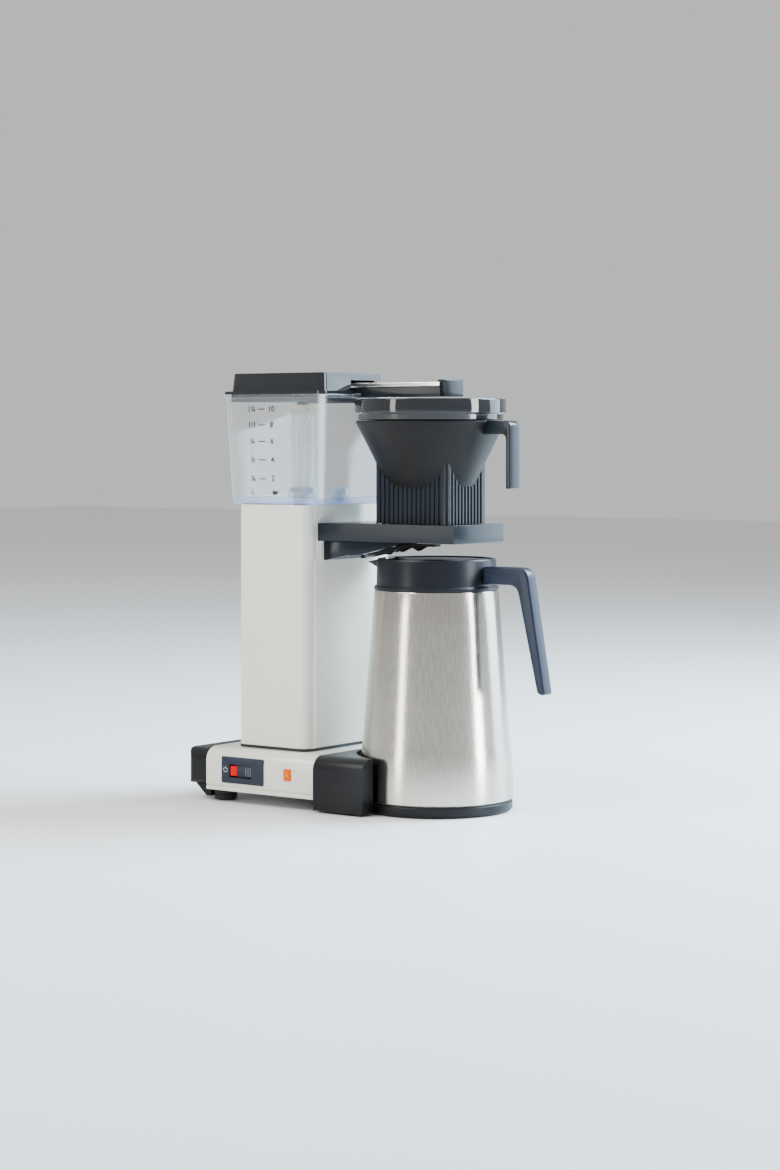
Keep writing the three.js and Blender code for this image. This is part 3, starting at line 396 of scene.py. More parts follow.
# %% [markdown]
# ## Modelling helpers
# Most pieces start in one of three ways: a line drawn point by point and then spun or pushed out, a cube
# with its corners rounded, or a copy of the plain solid whose flat faces are joined again so that a bevel
# can run round them. Operators act on whatever is selected, so each helper clears the selection first.


# %% Selection and edit mode
def start_clean():
    if bpy.context.mode != "OBJECT":
        bpy.ops.object.mode_set(mode="OBJECT")
    bpy.ops.object.select_all(action="DESELECT")


def take(piece):
    start_clean()
    piece.select_set(True)
    bpy.context.view_layer.objects.active = piece


def edit(piece):
    take(piece)
    bpy.ops.object.mode_set(mode="EDIT")


def leave(piece):
    bpy.ops.object.mode_set(mode="OBJECT")
    return piece


def weld_and_face_out(piece):
    """Merge doubled points and turn every face outwards."""
    edit(piece)
    bpy.ops.mesh.select_all(action="SELECT")
    bpy.ops.mesh.remove_doubles(threshold=1e-6)
    bpy.ops.mesh.normals_make_consistent(inside=False)
    return leave(piece)


# %% Modifiers that are applied at once
def apply_modifier(piece, kind, **settings):
    take(piece)
    added = piece.modifiers.new(kind.lower(), kind)
    for key, value in settings.items():
        setattr(added, key, value)
    bpy.ops.object.modifier_apply(modifier=added.name)
    return piece


def round_edges(piece, width, steps=3, sharper_than=32):
    return apply_modifier(piece, "BEVEL", width=width, segments=steps, limit_method="ANGLE",
                          angle_limit=math.radians(sharper_than), use_clamp_overlap=True)


def cut(piece, *cutters, operation="DIFFERENCE"):
    for cutter in cutters:
        apply_modifier(piece, "BOOLEAN", object=cutter, operation=operation, solver="EXACT")
        bpy.data.objects.remove(cutter)
    return piece


def join(piece, *others):
    take(piece)
    for other in others:
        other.select_set(True)
    bpy.ops.object.join()
    return piece


# %% Lines, turned pieces and pushed outlines
def draw(name, points, close=False):
    """Draw a line of edges through the points by extruding one vertex, and fill it if it is closed."""
    start_clean()
    bpy.ops.mesh.primitive_plane_add(size=MM, location=points[0])
    line = bpy.context.object
    line.name = name
    bpy.ops.object.transform_apply(location=True, rotation=True, scale=True)
    bpy.ops.object.mode_set(mode="EDIT")
    bpy.ops.mesh.merge(type="CENTER")
    for here, there in zip(points, points[1:]):
        bpy.ops.mesh.extrude_region_move(TRANSFORM_OT_translate={"value": Vector(there) - Vector(here)})
    if close:
        bpy.ops.mesh.select_all(action="SELECT")
        bpy.ops.mesh.edge_face_add()
    return leave(line)


def push(piece, way):
    """Extrude everything that was drawn, and face the result outwards."""
    edit(piece)
    bpy.ops.mesh.select_all(action="SELECT")
    bpy.ops.mesh.extrude_region_move(TRANSFORM_OT_translate={"value": Vector(way)})
    leave(piece)
    return weld_and_face_out(piece)


def turned(name, profile, x, steps=96):
    """Spin a profile of (radius, height) in millimetres about the upright axis at x."""
    piece = draw(name, [(x + r * MM, 0, z * MM) for r, z in profile])
    edit(piece)
    bpy.ops.mesh.select_all(action="SELECT")
    bpy.ops.mesh.spin(steps=steps, angle=TURN, center=(x, 0, 0), axis=(0, 0, 1))
    leave(piece)
    return weld_and_face_out(piece)


def arc(cx, cy, radius, start, end, steps):
    """Points on an arc, angles in degrees."""
    return [(cx + radius * math.cos(math.radians(start + (end - start) * i / steps)),
             cy + radius * math.sin(math.radians(start + (end - start) * i / steps)))
            for i in range(steps + 1)]


def round_rect(x0, x1, y0, y1, r, steps=8):
    return (arc(x1 - r, y0 + r, r, -90, 0, steps) + arc(x1 - r, y1 - r, r, 0, 90, steps)
            + arc(x0 + r, y1 - r, r, 90, 180, steps) + arc(x0 + r, y0 + r, r, 180, 270, steps))


def block(name, low, high):
    """A plain cube between two corners, the start of a piece or a cutter."""
    start_clean()
    low, high = Vector(low), Vector(high)
    bpy.ops.mesh.primitive_cube_add(size=1, location=(low + high) / 2)
    piece = bpy.context.object
    piece.name = name
    piece.scale = high - low
    bpy.ops.object.transform_apply(location=True, rotation=True, scale=True)
    return piece


def bar(name, radius, start, length, axis, sides=48):
    """A round bar or a drill: from start along X, Y or Z."""
    start_clean()
    way = {"X": Vector((1, 0, 0)), "Y": Vector((0, 1, 0)), "Z": Vector((0, 0, 1))}[axis]
    turn = {"X": (0, math.pi / 2, 0), "Y": (math.pi / 2, 0, 0), "Z": (0, 0, 0)}[axis]
    bpy.ops.mesh.primitive_cylinder_add(vertices=sides, radius=radius, depth=length, rotation=turn,
                                        location=Vector(start) + way * length / 2)
    piece = bpy.context.object
    piece.name = name
    bpy.ops.object.transform_apply(location=True, rotation=True, scale=True)
    return piece


# %% Copies of plain solids, and handing pieces over
def refined(node, width, steps=3, sharper_than=32):
    """A copy of a plain solid with its triangles joined into flat faces and its edges rounded."""
    source = frame["nodes"][node]
    piece = source.copy()
    piece.data = source.data.copy()
    piece.name = node + "_fine"
    piece.parent = None
    piece.matrix_world.identity()
    bpy.context.scene.collection.objects.link(piece)
    edit(piece)
    bpy.ops.mesh.select_all(action="SELECT")
    bpy.ops.mesh.remove_doubles(threshold=2e-6)
    bpy.ops.mesh.dissolve_limited(angle_limit=math.radians(1.0))
    leave(piece)
    if width:
        round_edges(piece, width, steps, sharper_than)
    return piece


BODY_OF = {node: body for body, nodes in frame["record"]["behaviour"]["bodies"].items() for node in nodes}
RIDES_ON = dict(BODY_OF)


def hand_over(piece, material, node, replace=True, smooth=30):
    """Give a finished piece its material, its body, and the plain solid that it stands for."""
    piece.data.materials.clear()
    piece.data.materials.append(material)
    take(piece)
    bpy.ops.object.shade_smooth_by_angle(angle=math.radians(smooth))
    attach(piece, RIDES_ON[node])
    if replace:
        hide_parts(node)
    print(f"{piece.name}: {len(piece.data.polygons)} faces on {RIDES_ON[node]}")
    return piece


def repaint(material, *nodes):
    """A hidden or simple solid keeps its shape and gets a real finish."""
    for node in nodes:
        mesh = frame["nodes"][node].data
        mesh.materials.clear()
        mesh.materials.append(material)


# %% [markdown]
# ## Base
# The base is one length of extruded aluminium channel, painted cream, with large rounded shoulders. Its
# section is drawn once and pushed along X; the thin wall comes from Solidify, so inside and outside stay
# parallel. A small groove near the bottom edge is part of the die, so it belongs in the section.

# %% Base housing
base_low, base_high = [Vector(corner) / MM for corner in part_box("base_housing")]
SHOULDER = 12.5
WALL = 2.2
GROOVE_Z = base_low.z + 3.4
GROOVE_DEPTH = 0.9
half = base_high.y
right_side = [(half, base_low.z), (half, GROOVE_Z), (half - GROOVE_DEPTH, GROOVE_Z + 0.3),
              (half - GROOVE_DEPTH, GROOVE_Z + 1.1), (half, GROOVE_Z + 1.4)]
left_side = [(-y, z) for y, z in reversed(right_side)]
section = (right_side + arc(half - SHOULDER, base_high.z - SHOULDER, SHOULDER, 0, 90, 14)
           + arc(-half + SHOULDER, base_high.z - SHOULDER, SHOULDER, 90, 180, 14) + left_side)
housing = draw("base_housing_fine", [(base_low.x * MM, y * MM, z * MM) for y, z in section])
push(housing, ((base_high.x - base_low.x) * MM, 0, 0))
apply_modifier(housing, "SOLIDIFY", thickness=WALL * MM, offset=-1)
print("base section of", len(section), "points, wall", WALL, "mm")

# %% Openings in the base
panel_low, panel_high = [Vector(corner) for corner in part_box("switch_panel")]
body_low, body_high = [Vector(corner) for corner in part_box("switch_body")]
lamp_low, lamp_high = [Vector(corner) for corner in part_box("pilot_lamp")]
column_low, column_high = [Vector(corner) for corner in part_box("column_housing")]
EASE = Vector((0.3 * MM, 0, 0.3 * MM))
seat = block("seat", panel_low - EASE - Vector((0, MM, 0)), panel_high + EASE + Vector((0, 0.3 * MM, 0)))
switch_way = block("switch_way", body_low - EASE - Vector((0, 6 * MM, 0)), body_high + EASE)
lamp_way = block("lamp_way", lamp_low - EASE - Vector((0, MM, 0)), lamp_high + EASE)
WAY_HALF = 48 * MM
column_way = block("column_way", (column_low.x + 14 * MM, -WAY_HALF, (base_high.z - 8) * MM),
                   (column_high.x - 12 * MM, WAY_HALF, (base_high.z + 2) * MM))
gland = middle("cord_gland")
gland_way = bar("gland_way", 7.4 * MM, (gland.x, (half - 8) * MM, gland.z), 10 * MM, "Y")
cut(housing, seat, switch_way, lamp_way, column_way, gland_way)
round_edges(housing, 0.35 * MM, steps=2, sharper_than=50)
hand_over(housing, cream_paint, "base_housing")

# %% [markdown]
# ## End cap, feet and cradle
# The mouldings at both ends of the channel are flat faces with rounded edges. Their plain solids already
# hold the shape, so a copy is merged, its triangles are dissolved into whole faces, and a bevel makes the
# edge radius that every injection mould needs.

# %% Base mouldings
hand_over(refined("base_end_cap", 1.1 * MM), grained_black, "base_end_cap")
hand_over(refined("carafe_cradle", 0.9 * MM, sharper_than=40), grained_black, "carafe_cradle")
hand_over(refined("cord_gland", 0.4 * MM), grained_black, "cord_gland")


def foot(node):
    low, high = [Vector(corner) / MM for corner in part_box(node)]
    radius = (high.x - low.x) / 2
    tall = high.z
    profile = [(0, 0), (radius - 2.6, 0), (radius - 1.2, 0.5), (radius - 0.5, 1.6), (radius - 0.3, 4.4),
               (radius - 0.9, 4.9), (radius - 0.9, 5.5), (radius - 0.2, 6.0), (radius, tall - 0.6),
               (radius - 0.5, tall), (0, tall)]
    piece = turned(node + "_fine", profile, (low.x + high.x) / 2 * MM, steps=48)
    piece.location.y = middle(node).y
    take(piece)
    bpy.ops.object.transform_apply(location=True, rotation=True, scale=True)
    return hand_over(piece, foot_rubber, node)


foot("foot_front")
foot("foot_rear")
for pad in ("cradle_pad_front", "cradle_pad_rear"):
    hand_over(refined(pad, 0.3 * MM), foot_rubber, pad)

# %% [markdown]
# ## Switch and lamp
# A rocker switch is a V-shaped key that tips about its middle. Half of it is red and shows when the machine
# is on, and the other end has a ribbed thumb pad. The red end is a little smaller than its seat, so that the
# dark slot shows round it. The power sign beside the rocker is generic: a broken ring with a short bar,
# printed in white. Print has a thickness, so the panel is set back by a hair to keep it inside the box.

# %% Switch panel and rocker
SET_BACK = 0.1 * MM
panel = refined("switch_panel", 0.35 * MM)
panel.location.y = SET_BACK
take(panel)
bpy.ops.object.transform_apply(location=True, rotation=True, scale=True)
hand_over(panel, panel_navy, "switch_panel")
hand_over(refined("rocker_key", 0.3 * MM), panel_navy, "rocker_key")
RED_SHARE = (0.86, 1, 0.80)
red_end = refined("rocker_red", 0.3 * MM)
edit(red_end)
bpy.ops.mesh.select_all(action="SELECT")
bpy.ops.transform.resize(value=RED_SHARE, center_override=red_centre)
leave(red_end)
hand_over(red_end, red_key, "rocker_red")
hand_over(refined("pilot_lamp", 0.5 * MM), amber_lens, "pilot_lamp")

# %% Thumb pad
key_low, key_high = [Vector(corner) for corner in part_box("rocker_key")]
pad_parts = []
RIBS = 4
PAD_WIDE = 7.4 * MM
PAD_INSET = 1.1 * MM
RIB_HALF = 0.62 * MM
for i in range(RIBS):
    x = key_high.x - PAD_INSET - PAD_WIDE * (i + 0.5) / RIBS
    pad_parts.append(block(f"rib_{i}", (x - RIB_HALF, key_low.y, key_low.z + PAD_INSET),
                           (x + RIB_HALF, key_low.y + PAD_INSET, key_high.z - PAD_INSET)))
pad = join(pad_parts[0], *pad_parts[1:])
pad.name = "rocker_thumb_pad"
round_edges(pad, 0.2 * MM, steps=2)
print("thumb pad", [round(v, 4) for v in key_low], [round(v, 4) for v in key_high])
hand_over(pad, key_grey, "rocker_key", replace=False)


# %% Power sign
def printed(name, points, thick, raised, material, node):
    """A printed line: edges pushed out of the surface and given a width."""
    piece = draw(name, points)
    edit(piece)
    bpy.ops.mesh.select_all(action="SELECT")
    bpy.ops.mesh.extrude_region_move(TRANSFORM_OT_translate={"value": (0, -raised, 0)})
    leave(piece)
    apply_modifier(piece, "SOLIDIFY", thickness=thick, offset=0)
    weld_and_face_out(piece)
    return hand_over(piece, material, node, replace=False)


SIGN_X = panel_low.x + 4.8 * MM
SIGN_Z = middle("switch_panel").z
print_y = panel_low.y + SET_BACK
SIGN_LINE = 0.30 * MM
SIGN_RAISED = 0.06 * MM
SIGN_RADIUS = 2.2 * MM
ring_points = [(x, print_y, z) for x, z in arc(SIGN_X, SIGN_Z, SIGN_RADIUS, 125, 415, 26)]
printed("power_ring", ring_points, SIGN_LINE, SIGN_RAISED, ink_white, "switch_panel")
bar_points = [(SIGN_X, print_y, SIGN_Z + 0.5 * MM), (SIGN_X, print_y, SIGN_Z + 2.8 * MM)]
printed("power_bar", bar_points, SIGN_LINE, SIGN_RAISED, ink_white, "switch_panel")

# %% [markdown]
# ## Column
# The column is an extrusion too: three smooth faces and, towards the carafe, a face of fine upright flutes
# that breaks up the reflections of the hot jug. The flutes are part of the drawn section, a shallow wave
# between the two rounded corners, and pushing the section up makes every flute at once.

# %% Column housing
CORNER = 10.0
FLUTE_PITCH = 3.0
FLUTE_DEPTH = 0.55
x0, x1 = column_low.x / MM, column_high.x / MM
wide = column_high.y / MM
run = 2 * (wide - CORNER) - 4
flutes = int(run / FLUTE_PITCH)
wave = []
for i in range(flutes * 4 + 1):
    phase = i / 4
    y = -flutes * FLUTE_PITCH / 2 + phase * FLUTE_PITCH
    wave.append((x1 - FLUTE_DEPTH * (1 - math.cos(TURN * phase)) / 2, y))
outline = (arc(x1 - CORNER, -wide + CORNER, CORNER, -90, 0, 12) + wave
           + arc(x1 - CORNER, wide - CORNER, CORNER, 0, 90, 12)
           + arc(x0 + CORNER, wide - CORNER, CORNER, 90, 180, 12)
           + arc(x0 + CORNER, -wide + CORNER, CORNER, 180, 270, 12))
outline.append(outline[0])
column = draw("column_housing_fine", [(x * MM, y * MM, column_low.z) for x, y in outline])
push(column, (0, 0, column_high.z - column_low.z))
apply_modifier(column, "SOLIDIFY", thickness=1.6 * MM, offset=-1)
weld_and_face_out(column)
hand_over(column, cream_paint, "column_housing", smooth=40)
repaint(foot_rubber, "column_gasket")

# %% [markdown]
# ## Water tank
# The tank is a tapered clear box. A thick floor and an outward rim make the bright lines that one reads as
# plastic. The outside and the inside are two tapered blocks, and the difference between them is a wall
# with two faces that both shine; a clear box without a wall looks like a solid block of ice.


# %% Tapered boxes
def tapered(name, low, high, radius, z0, z1, steps=6):
    """A block from the (x0, x1, half width) of its foot to that of its top, with round upright corners."""
    foot_line = round_rect(low[0], low[1], -low[2], low[2], radius, steps)
    piece = draw(name, [(x, y, z0) for x, y in foot_line], close=True)
    grow = ((high[1] - high[0]) / (low[1] - low[0]), high[2] / low[2], 1)
    shift = ((high[0] + high[1]) - (low[0] + low[1])) / 2
    edit(piece)
    bpy.ops.mesh.select_all(action="SELECT")
    bpy.ops.mesh.extrude_region_move(TRANSFORM_OT_translate={"value": (shift, 0, z1 - z0)})
    centre = ((high[0] + high[1]) / 2, 0, z1)
    bpy.ops.transform.resize(value=grow, center_override=centre)
    leave(piece)
    return weld_and_face_out(piece)


# %% Tank
tank_low, tank_high = [Vector(corner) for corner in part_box("tank")]
TAPER_X = 6.0 * MM
TAPER_X_RIGHT = 6.7 * MM
TAPER_Y = 5.8 * MM
TANK_WALL = 2.6 * MM
foot_edge = (tank_low.x + TAPER_X, tank_high.x - TAPER_X_RIGHT, tank_high.y - TAPER_Y)
RIM_LIP = 1.3 * MM
top_edge = (tank_low.x + RIM_LIP, tank_high.x - RIM_LIP, tank_high.y - RIM_LIP)


def thinner(edge, wall):
    return (edge[0] + wall, edge[1] - wall, edge[2] - wall)


tank = tapered("tank_fine", foot_edge, top_edge, 8 * MM, tank_low.z, tank_high.z)
rim = tapered("rim", thinner(top_edge, -RIM_LIP), thinner(top_edge, -RIM_LIP), 9 * MM,
              tank_high.z - 3.2 * MM, tank_high.z)
cut(tank, rim, operation="UNION")
hollow = tapered("hollow", thinner(foot_edge, TANK_WALL), thinner(top_edge, TANK_WALL), 6 * MM,
                 tank_low.z + TANK_FLOOR, tank_high.z + 0.2 * MM)
NOTCH_HALF = 18 * MM
NOTCH_FLOOR = 364.2 * MM
ABOVE_TANK = 380 * MM
arm_way = block("arm_way", (tank_high.x - 12 * MM, -NOTCH_HALF, NOTCH_FLOOR),
                (tank_high.x + 9 * MM, NOTCH_HALF, ABOVE_TANK))
riser_x = middle("glass_tube").x
outlet_x = middle("outlet_strainer").x
riser_way = bar("riser_way", 8.7 * MM, (riser_x, 0, tank_low.z - MM), 9 * MM, "Z")
outlet_way = bar("outlet_way", 6.8 * MM, (outlet_x, 0, tank_low.z - MM), 9 * MM, "Z")
cut(tank, hollow, arm_way, riser_way, outlet_way)
round_edges(tank, 0.7 * MM, steps=3, sharper_than=40)
hand_over(tank, clear_plastic, "tank")

# %% [markdown]
# ### Scale marks
# The scale is printed on the front of the tank: litres as fractions on the left, cups on the right, a dash
# between. Text is turned into a mesh, tipped to the slope of the wall and moved into its place before its
# transform is applied, so that it ends as a plain flat piece at the origin.


# %% Scale marks
def front_wall(z):
    """Where the tank's front face is at a height."""
    t = (z - tank_low.z) / (tank_high.z - tank_low.z)
    return -(foot_edge[2] + (top_edge[2] - foot_edge[2]) * t)


LEAN = math.atan((top_edge[2] - foot_edge[2]) / (tank_high.z - tank_low.z))
PRINT = 0.06 * MM


def mark(name, words, x, z, size):
    start_clean()
    bpy.ops.object.text_add(location=(x, front_wall(z) - 1.2 * PRINT, z), rotation=(math.pi / 2 + LEAN, 0, 0))
    text = bpy.context.object
    text.name = name
    text.data.body = words
    text.data.size = size
    text.data.align_x = "CENTER"
    text.data.align_y = "CENTER"
    text.data.extrude = PRINT / 2
    text.data.offset = 0.03 * size
    text.data.resolution_u = 3
    bpy.ops.object.convert(target="MESH")
    bpy.ops.object.transform_apply(location=True, rotation=True, scale=True)
    return weld_and_face_out(bpy.context.object)


def dash(name, x, z, length, thick):
    y = front_wall(z)
    return block(name, (x - length / 2, y - 1.7 * PRINT, z - thick / 2),
                 (x + length / 2, y - 0.7 * PRINT, z + thick / 2))


# %% Rows of the scale
NUMBER = 7.2 * MM
SCALE_X = tank_low.x + 35.6 * MM
QUARTER, HALF, THREE_QUARTERS = "\u00bc", "\u00bd", "\u00be"
rows = [("1" + QUARTER, "10", 354), ("1/1", "8", 339.7), (THREE_QUARTERS, "6", 324.9),
        (HALF, "4", 308.3), (QUARTER, "2", 291.2)]
scale_parts = []
for litres, cups, height in rows:
    z = height * MM
    scale_parts.append(mark("litres", litres, SCALE_X, z, NUMBER))
    scale_parts.append(dash("dash", SCALE_X + 11.0 * MM, z, 8.0 * MM, 1.0 * MM))
    scale_parts.append(mark("cups", cups, SCALE_X + 22.6 * MM, z, NUMBER))
FOOT_Z = 278.8 * MM
scale_parts.append(mark("litre_sign", "L", SCALE_X - 1.2 * MM, FOOT_Z, NUMBER * 0.8))
cup_y = front_wall(FOOT_Z)
CUP_X = SCALE_X + 21.6 * MM
scale_parts.append(block("cup", (CUP_X, cup_y - 1.7 * PRINT, FOOT_Z - 1.8 * MM),
                         (CUP_X + 5.2 * MM, cup_y - 0.7 * PRINT, FOOT_Z + 1.6 * MM)))
scale_parts.append(block("cup_ear", (CUP_X + 5.2 * MM, cup_y - 1.7 * PRINT, FOOT_Z - 0.4 * MM),
                         (CUP_X + 6.4 * MM, cup_y - 0.7 * PRINT, FOOT_Z + 1.2 * MM)))
scale = join(scale_parts[0], *scale_parts[1:])
scale.name = "tank_scale"
hand_over(scale, ink_black, "tank", replace=False)

# %% [markdown]
# ### Inside the tank
# A glass riser carries the hot water up through the tank, held at the top by an ivory bush and below by a
# translucent seal. Beside it a small clear cup with slots keeps scale out of the outlet.

# %% Riser and strainer
glass_low, glass_high = [Vector(corner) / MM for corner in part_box("glass_tube")]
outer = (glass_high.x - glass_low.x) / 2
bore = outer - 1.5
tube_line = [(bore, glass_low.z), (outer, glass_low.z), (outer, glass_high.z), (bore, glass_high.z),
             (bore, glass_low.z)]
riser = turned("glass_tube_fine", tube_line, riser_x, steps=64)
round_edges(riser, 0.4 * MM, steps=2)
hand_over(riser, clear_glass, "glass_tube")
hand_over(refined("tube_collar", 0.4 * MM), ivory_plastic, "tube_collar")
hand_over(refined("outlet_strainer", 0.4 * MM), strainer_plastic, "outlet_strainer")
hand_over(refined("riser_seal", 0.4 * MM), strainer_plastic, "riser_seal")

# %% [markdown]
# ## Tank lid and outlet arm
# The lid is a deep moulding in polished black, raised over the riser and stepped down behind, with a plug
# that drops inside the tank. The arm reaches out through a notch in its side, with a bright brushed plate
# along its top and a cap on its end.

# %% Lid and arm
hand_over(refined("tank_lid", 1.3 * MM, steps=4, sharper_than=40), polished_black, "tank_lid")
hand_over(refined("outlet_arm", 0.6 * MM), slate_plastic, "outlet_arm")
hand_over(refined("arm_top_plate", 0.7 * MM), bright_plate, "arm_top_plate")
hand_over(refined("arm_end_cap", 0.8 * MM), slate_plastic, "arm_end_cap")

# %% [markdown]
# ## Basket bracket and drip stop
# A stiff arm of slate plastic is screwed to the column. Two cheeks under it hold a pin, and on the pin hangs
# a toothed lever which the jug lifts to open the valve.

# %% Bracket
hand_over(refined("basket_bracket", 0.8 * MM), slate_plastic, "basket_bracket")
hand_over(refined("bracket_gusset", 0.7 * MM), slate_plastic, "bracket_gusset")
hand_over(refined("drip_stop_lever", 0.5 * MM), grained_black, "drip_stop_lever")
hand_over(refined("drip_valve", 0.4 * MM), milky_silicone, "drip_valve")
hand_over(refined("lever_pin", 0.2 * MM), inner_steel, "lever_pin")
for screw in ("bracket_screw_front", "bracket_screw_rear"):
    hand_over(refined(screw, 0.3 * MM), inner_steel, screw)

# %% [markdown]
# ## Filter basket
# The basket grows from a ribbed rectangular holder into a round cone, so that it can take a folded paper
# filter. The cone starts as an oval ring of points, which is extruded upwards and widened step by step
# until it is a circle. The holder is a drawn outline with ribs; where the cone passes through its walls the
# cone is cut out of it, which leaves the scalloped edge that a moulder gets from two crossing forms.

# %% Cone
basket_low, basket_high = [Vector(corner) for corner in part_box("brew_basket")]
BASKET_X = (basket_low.x + basket_high.x) / 2
TOP_R = (basket_high.x - basket_low.x) / 2
OVAL_X, OVAL_Y = 39.6 * MM, 29.6 * MM
BLEND_Z = 286 * MM
LEVELS = 6


def cone_skin(name, inset, down_to=BLEND_Z):
    """The outside of the cone, open at both ends, drawn in by an inset."""
    start_clean()
    bpy.ops.mesh.primitive_circle_add(vertices=128, radius=1, location=(0, 0, 0))
    skin = bpy.context.object
    skin.name = name
    skin.scale = (OVAL_X - inset, OVAL_Y - inset, 1)
    skin.location = (BASKET_X, 0, BLEND_Z)
    bpy.ops.object.transform_apply(location=True, rotation=True, scale=True)
    bpy.ops.object.mode_set(mode="EDIT")
    bpy.ops.mesh.select_all(action="SELECT")
    rx, ry = OVAL_X - inset, OVAL_Y - inset
    step = (basket_high.z - BLEND_Z) / LEVELS
    for level in range(1, LEVELS + 1):
        t = level / LEVELS
        wide_x = OVAL_X + (TOP_R - OVAL_X) * t - inset
        wide_y = OVAL_Y + (TOP_R - OVAL_Y) * t - inset
        bpy.ops.mesh.extrude_region_move(TRANSFORM_OT_translate={"value": (0, 0, step)})
        bpy.ops.transform.resize(value=(wide_x / rx, wide_y / ry, 1),
                                 center_override=(BASKET_X, 0, BLEND_Z + step * level))
        rx, ry = wide_x, wide_y
    return leave(skin)


cone = cone_skin("basket_cone", 0)
weld_and_face_out(cone)
apply_modifier(cone, "SOLIDIFY", thickness=2 * MM, offset=-1)
round_edges(cone, 0.5 * MM, steps=2, sharper_than=50)
hand_over(cone, basket_black, "brew_basket", smooth=40)


# %% Ribbed holder
def ribbed_side(length, pitch, depth, margin):
    """Offsets along a side and into it: upright ribs between two plain margins."""
    count = int((length - 2 * margin) / pitch)
    start = -count * pitch / 2
    line = []
    for i in range(count):
        a = start + i * pitch
        line += [(a, 0), (a + 0.14 * pitch, depth), (a + 0.50 * pitch, depth), (a + 0.64 * pitch, 0)]
    return line


PITCH = 4.9 * MM
RIB_DEPTH = 1.3 * MM
EDGE = 3 * MM
long_side = ribbed_side(2 * OVAL_X, PITCH, RIB_DEPTH, 1.2 * EDGE)
short_side = ribbed_side(2 * OVAL_Y, PITCH, RIB_DEPTH, 1.2 * EDGE)
corner_x, corner_y = OVAL_X - EDGE, OVAL_Y - EDGE
holder_line = ([(s, -OVAL_Y + d) for s, d in long_side] + arc(corner_x, -corner_y, EDGE, -90, 0, 5)
               + [(OVAL_X - d, s) for s, d in short_side] + arc(corner_x, corner_y, EDGE, 0, 90, 5)
               + [(-s, OVAL_Y - d) for s, d in long_side] + arc(-corner_x, corner_y, EDGE, 90, 180, 5)
               + [(-OVAL_X + d, -s) for s, d in short_side] + arc(-corner_x, -corner_y, EDGE, 180, 270, 5))
holder = draw("basket_holder", [(BASKET_X + x, y, basket_low.z) for x, y in holder_line], close=True)
HOLDER_TALL = 64 * MM
HOLDER_WALL = 3 * MM
HOLDER_FLOOR = 2.5 * MM
ABOVE_HOLDER = 330 * MM
push(holder, (0, 0, HOLDER_TALL))
inside = block("inside",
               (BASKET_X - OVAL_X + HOLDER_WALL, -OVAL_Y + HOLDER_WALL, basket_low.z + HOLDER_FLOOR),
               (BASKET_X + OVAL_X - HOLDER_WALL, OVAL_Y - HOLDER_WALL, ABOVE_HOLDER))
drain = bar("drain", 7.2 * MM, (BASKET_X, 0, basket_low.z - MM), 5 * MM, "Z")
core = cone_skin("core", 0.1 * MM)
edit(core)
bpy.ops.mesh.select_all(action="DESELECT")
bpy.ops.mesh.select_mode(type="VERT")
bpy.ops.mesh.select_non_manifold()
bpy.ops.mesh.edge_face_add()
leave(core)
weld_and_face_out(core)
cut(holder, core, inside, drain)
hand_over(holder, slate_plastic, "brew_basket", replace=False, smooth=25)

# %% [markdown]
# ### Basket lid and handle
# The lid is turned on the lathe: two steps and a soft top edge. A polished ring like this one shows the
# whole room in it, so its profile has to be clean. The handle is a flat hook; its plain solid is refined.

# %% Basket lid and handle
lid_low, lid_high = [Vector(corner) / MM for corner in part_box("basket_lid")]
R_TOP = (lid_high.x - lid_low.x) / 2
R_LOW = R_TOP - 2.7
STEP_Z = lid_low.z + 5.8
WALL_LID = 2.2
DISH = lid_high.z - 1.2
lid_profile = [(0, DISH), (R_TOP - 9, DISH), (R_TOP - 7.6, lid_high.z), (R_TOP - 0.2, lid_high.z),
               (R_TOP, STEP_Z), (R_LOW, STEP_Z), (R_LOW, lid_low.z), (R_LOW - WALL_LID, lid_low.z),
               (R_LOW - WALL_LID, lid_high.z - 3.6), (0, lid_high.z - 3.6)]
basket_lid = turned("basket_lid_fine", lid_profile, BASKET_X, steps=144)
round_edges(basket_lid, 0.9 * MM, steps=3, sharper_than=50)
SLOT_LONG, SLOT_WIDE = 60 * MM, 14 * MM
UNDER_LID, OVER_LID = 355 * MM, 370 * MM
spray_way = block("spray_way", (BASKET_X - SLOT_LONG / 2, -SLOT_WIDE / 2, UNDER_LID),
                  (BASKET_X + SLOT_LONG / 2, SLOT_WIDE / 2, OVER_LID))
cut(basket_lid, spray_way)
hand_over(basket_lid, polished_black, "basket_lid", smooth=35)
hand_over(refined("basket_handle", 1.2 * MM, steps=4, sharper_than=40), slate_plastic, "basket_handle")

# %% [markdown]
# ## Carafe
# A vacuum jug is two steel cups joined at the neck, on a moulded base and under a moulded collar. The outer
# body is one turned profile: a long straight taper that turns almost upright near the base, with a rolled
# edge where it meets the base ring.

# %% Carafe body
CARAFE_X = middle("carafe_shell").x
shell_low, shell_high = [Vector(corner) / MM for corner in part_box("carafe_shell")]
BELLY = (shell_high.x - shell_low.x) / 2
NECK = 55.2
KNEE_Z = 61.0
KNEE_R = 65.4
BODY_Z = 10.3


def carafe_radius(z):
    if z >= KNEE_Z:
        return NECK + (KNEE_R - NECK) * (shell_high.z - z) / (shell_high.z - KNEE_Z)
    t = (KNEE_Z - z) / (KNEE_Z - BODY_Z)
    return KNEE_R + (BELLY - KNEE_R) * t * (2 - t)


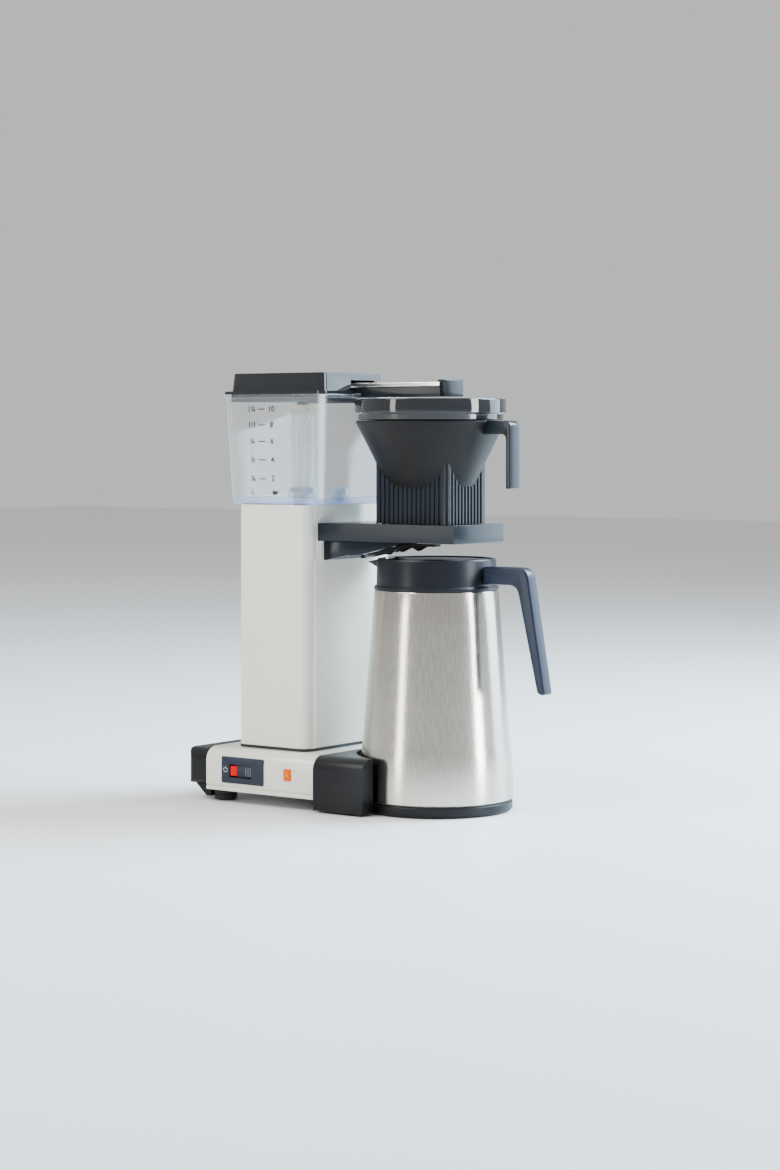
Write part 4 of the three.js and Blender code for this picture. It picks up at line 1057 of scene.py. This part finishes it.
heights = [BODY_Z + (KNEE_Z - BODY_Z) * i / 8 for i in range(9)] + [95, 130, 165, shell_high.z - 1.5]
outside = [(carafe_radius(z), z) for z in heights]
profile = ([(0, 4.2), (62.6, 4.2), (62.6, BODY_Z), (BELLY - 0.8, BODY_Z), (BELLY - 0.1, BODY_Z + 0.8)]
           + outside[1:] + [(NECK - 0.5, shell_high.z - 0.2), (NECK - 1.2, shell_high.z - 0.2),
                            (KNEE_R - 1.2, KNEE_Z), (BELLY - 1.5, 13), (61.4, 12.2), (61.4, 5.4), (0, 5.4)])
hand_over(turned("carafe_shell_fine", profile, CARAFE_X, steps=160), brushed_steel, "carafe_shell", smooth=35)
repaint(inner_steel, "carafe_liner")

# %% Carafe base
foot_low, foot_high = [Vector(corner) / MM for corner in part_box("carafe_base")]
base_radius = (foot_high.x - foot_low.x) / 2
ROLL = 3
base_profile = ([(0, 0)] + arc(base_radius - ROLL, ROLL, ROLL, -90, 0, 6)
                + [(base_radius, 8.2), (base_radius - 0.5, 8.8), (base_radius - 0.5, 9.7),
                   (63.4, 9.7), (63.4, 3.2), (0, 3.2)])
hand_over(turned("carafe_base_fine", base_profile, CARAFE_X, steps=128), grained_black, "carafe_base")

# %% [markdown]
# ### Collar, lid and handle
# The collar carries the pouring lip and the root of the handle. All three are mouldings with soft edges, so
# a wide bevel on a copy of each plain solid is enough, and the handle gets the widest because it is gripped.

# %% Collar and lid
hand_over(refined("carafe_collar", 0.8 * MM, sharper_than=35), collar_black, "carafe_collar", smooth=35)
hand_over(refined("carafe_lid", 0.7 * MM, sharper_than=35), collar_black, "carafe_lid", smooth=35)
grip = refined("carafe_handle", 2.6 * MM, steps=5, sharper_than=40)
hand_over(grip, navy_satin, "carafe_handle", smooth=40)

# %% [markdown]
# ## Hidden works
# The boiler, hoses and wiring sit inside the column and base. They keep their plain shapes, which nobody
# sees without opening the machine, and get the finishes that their materials have.

# %% Hidden works
repaint(inner_steel, "base_plate", "column_top_plate", "heating_element", "element_clamp")
repaint(drawn_copper, "boiler_tube")
repaint(milky_silicone, "boiler_cap_top", "boiler_cap_bottom", "riser_hose", "inlet_hose_upper",
        "inlet_hose_lower", "lid_seal")
repaint(ivory_plastic, "thermostat", "thermal_fuse", "check_valve", "terminal_block")
repaint(foot_rubber, "wire_loom")
repaint(grained_black, "switch_body", "lid_tube")
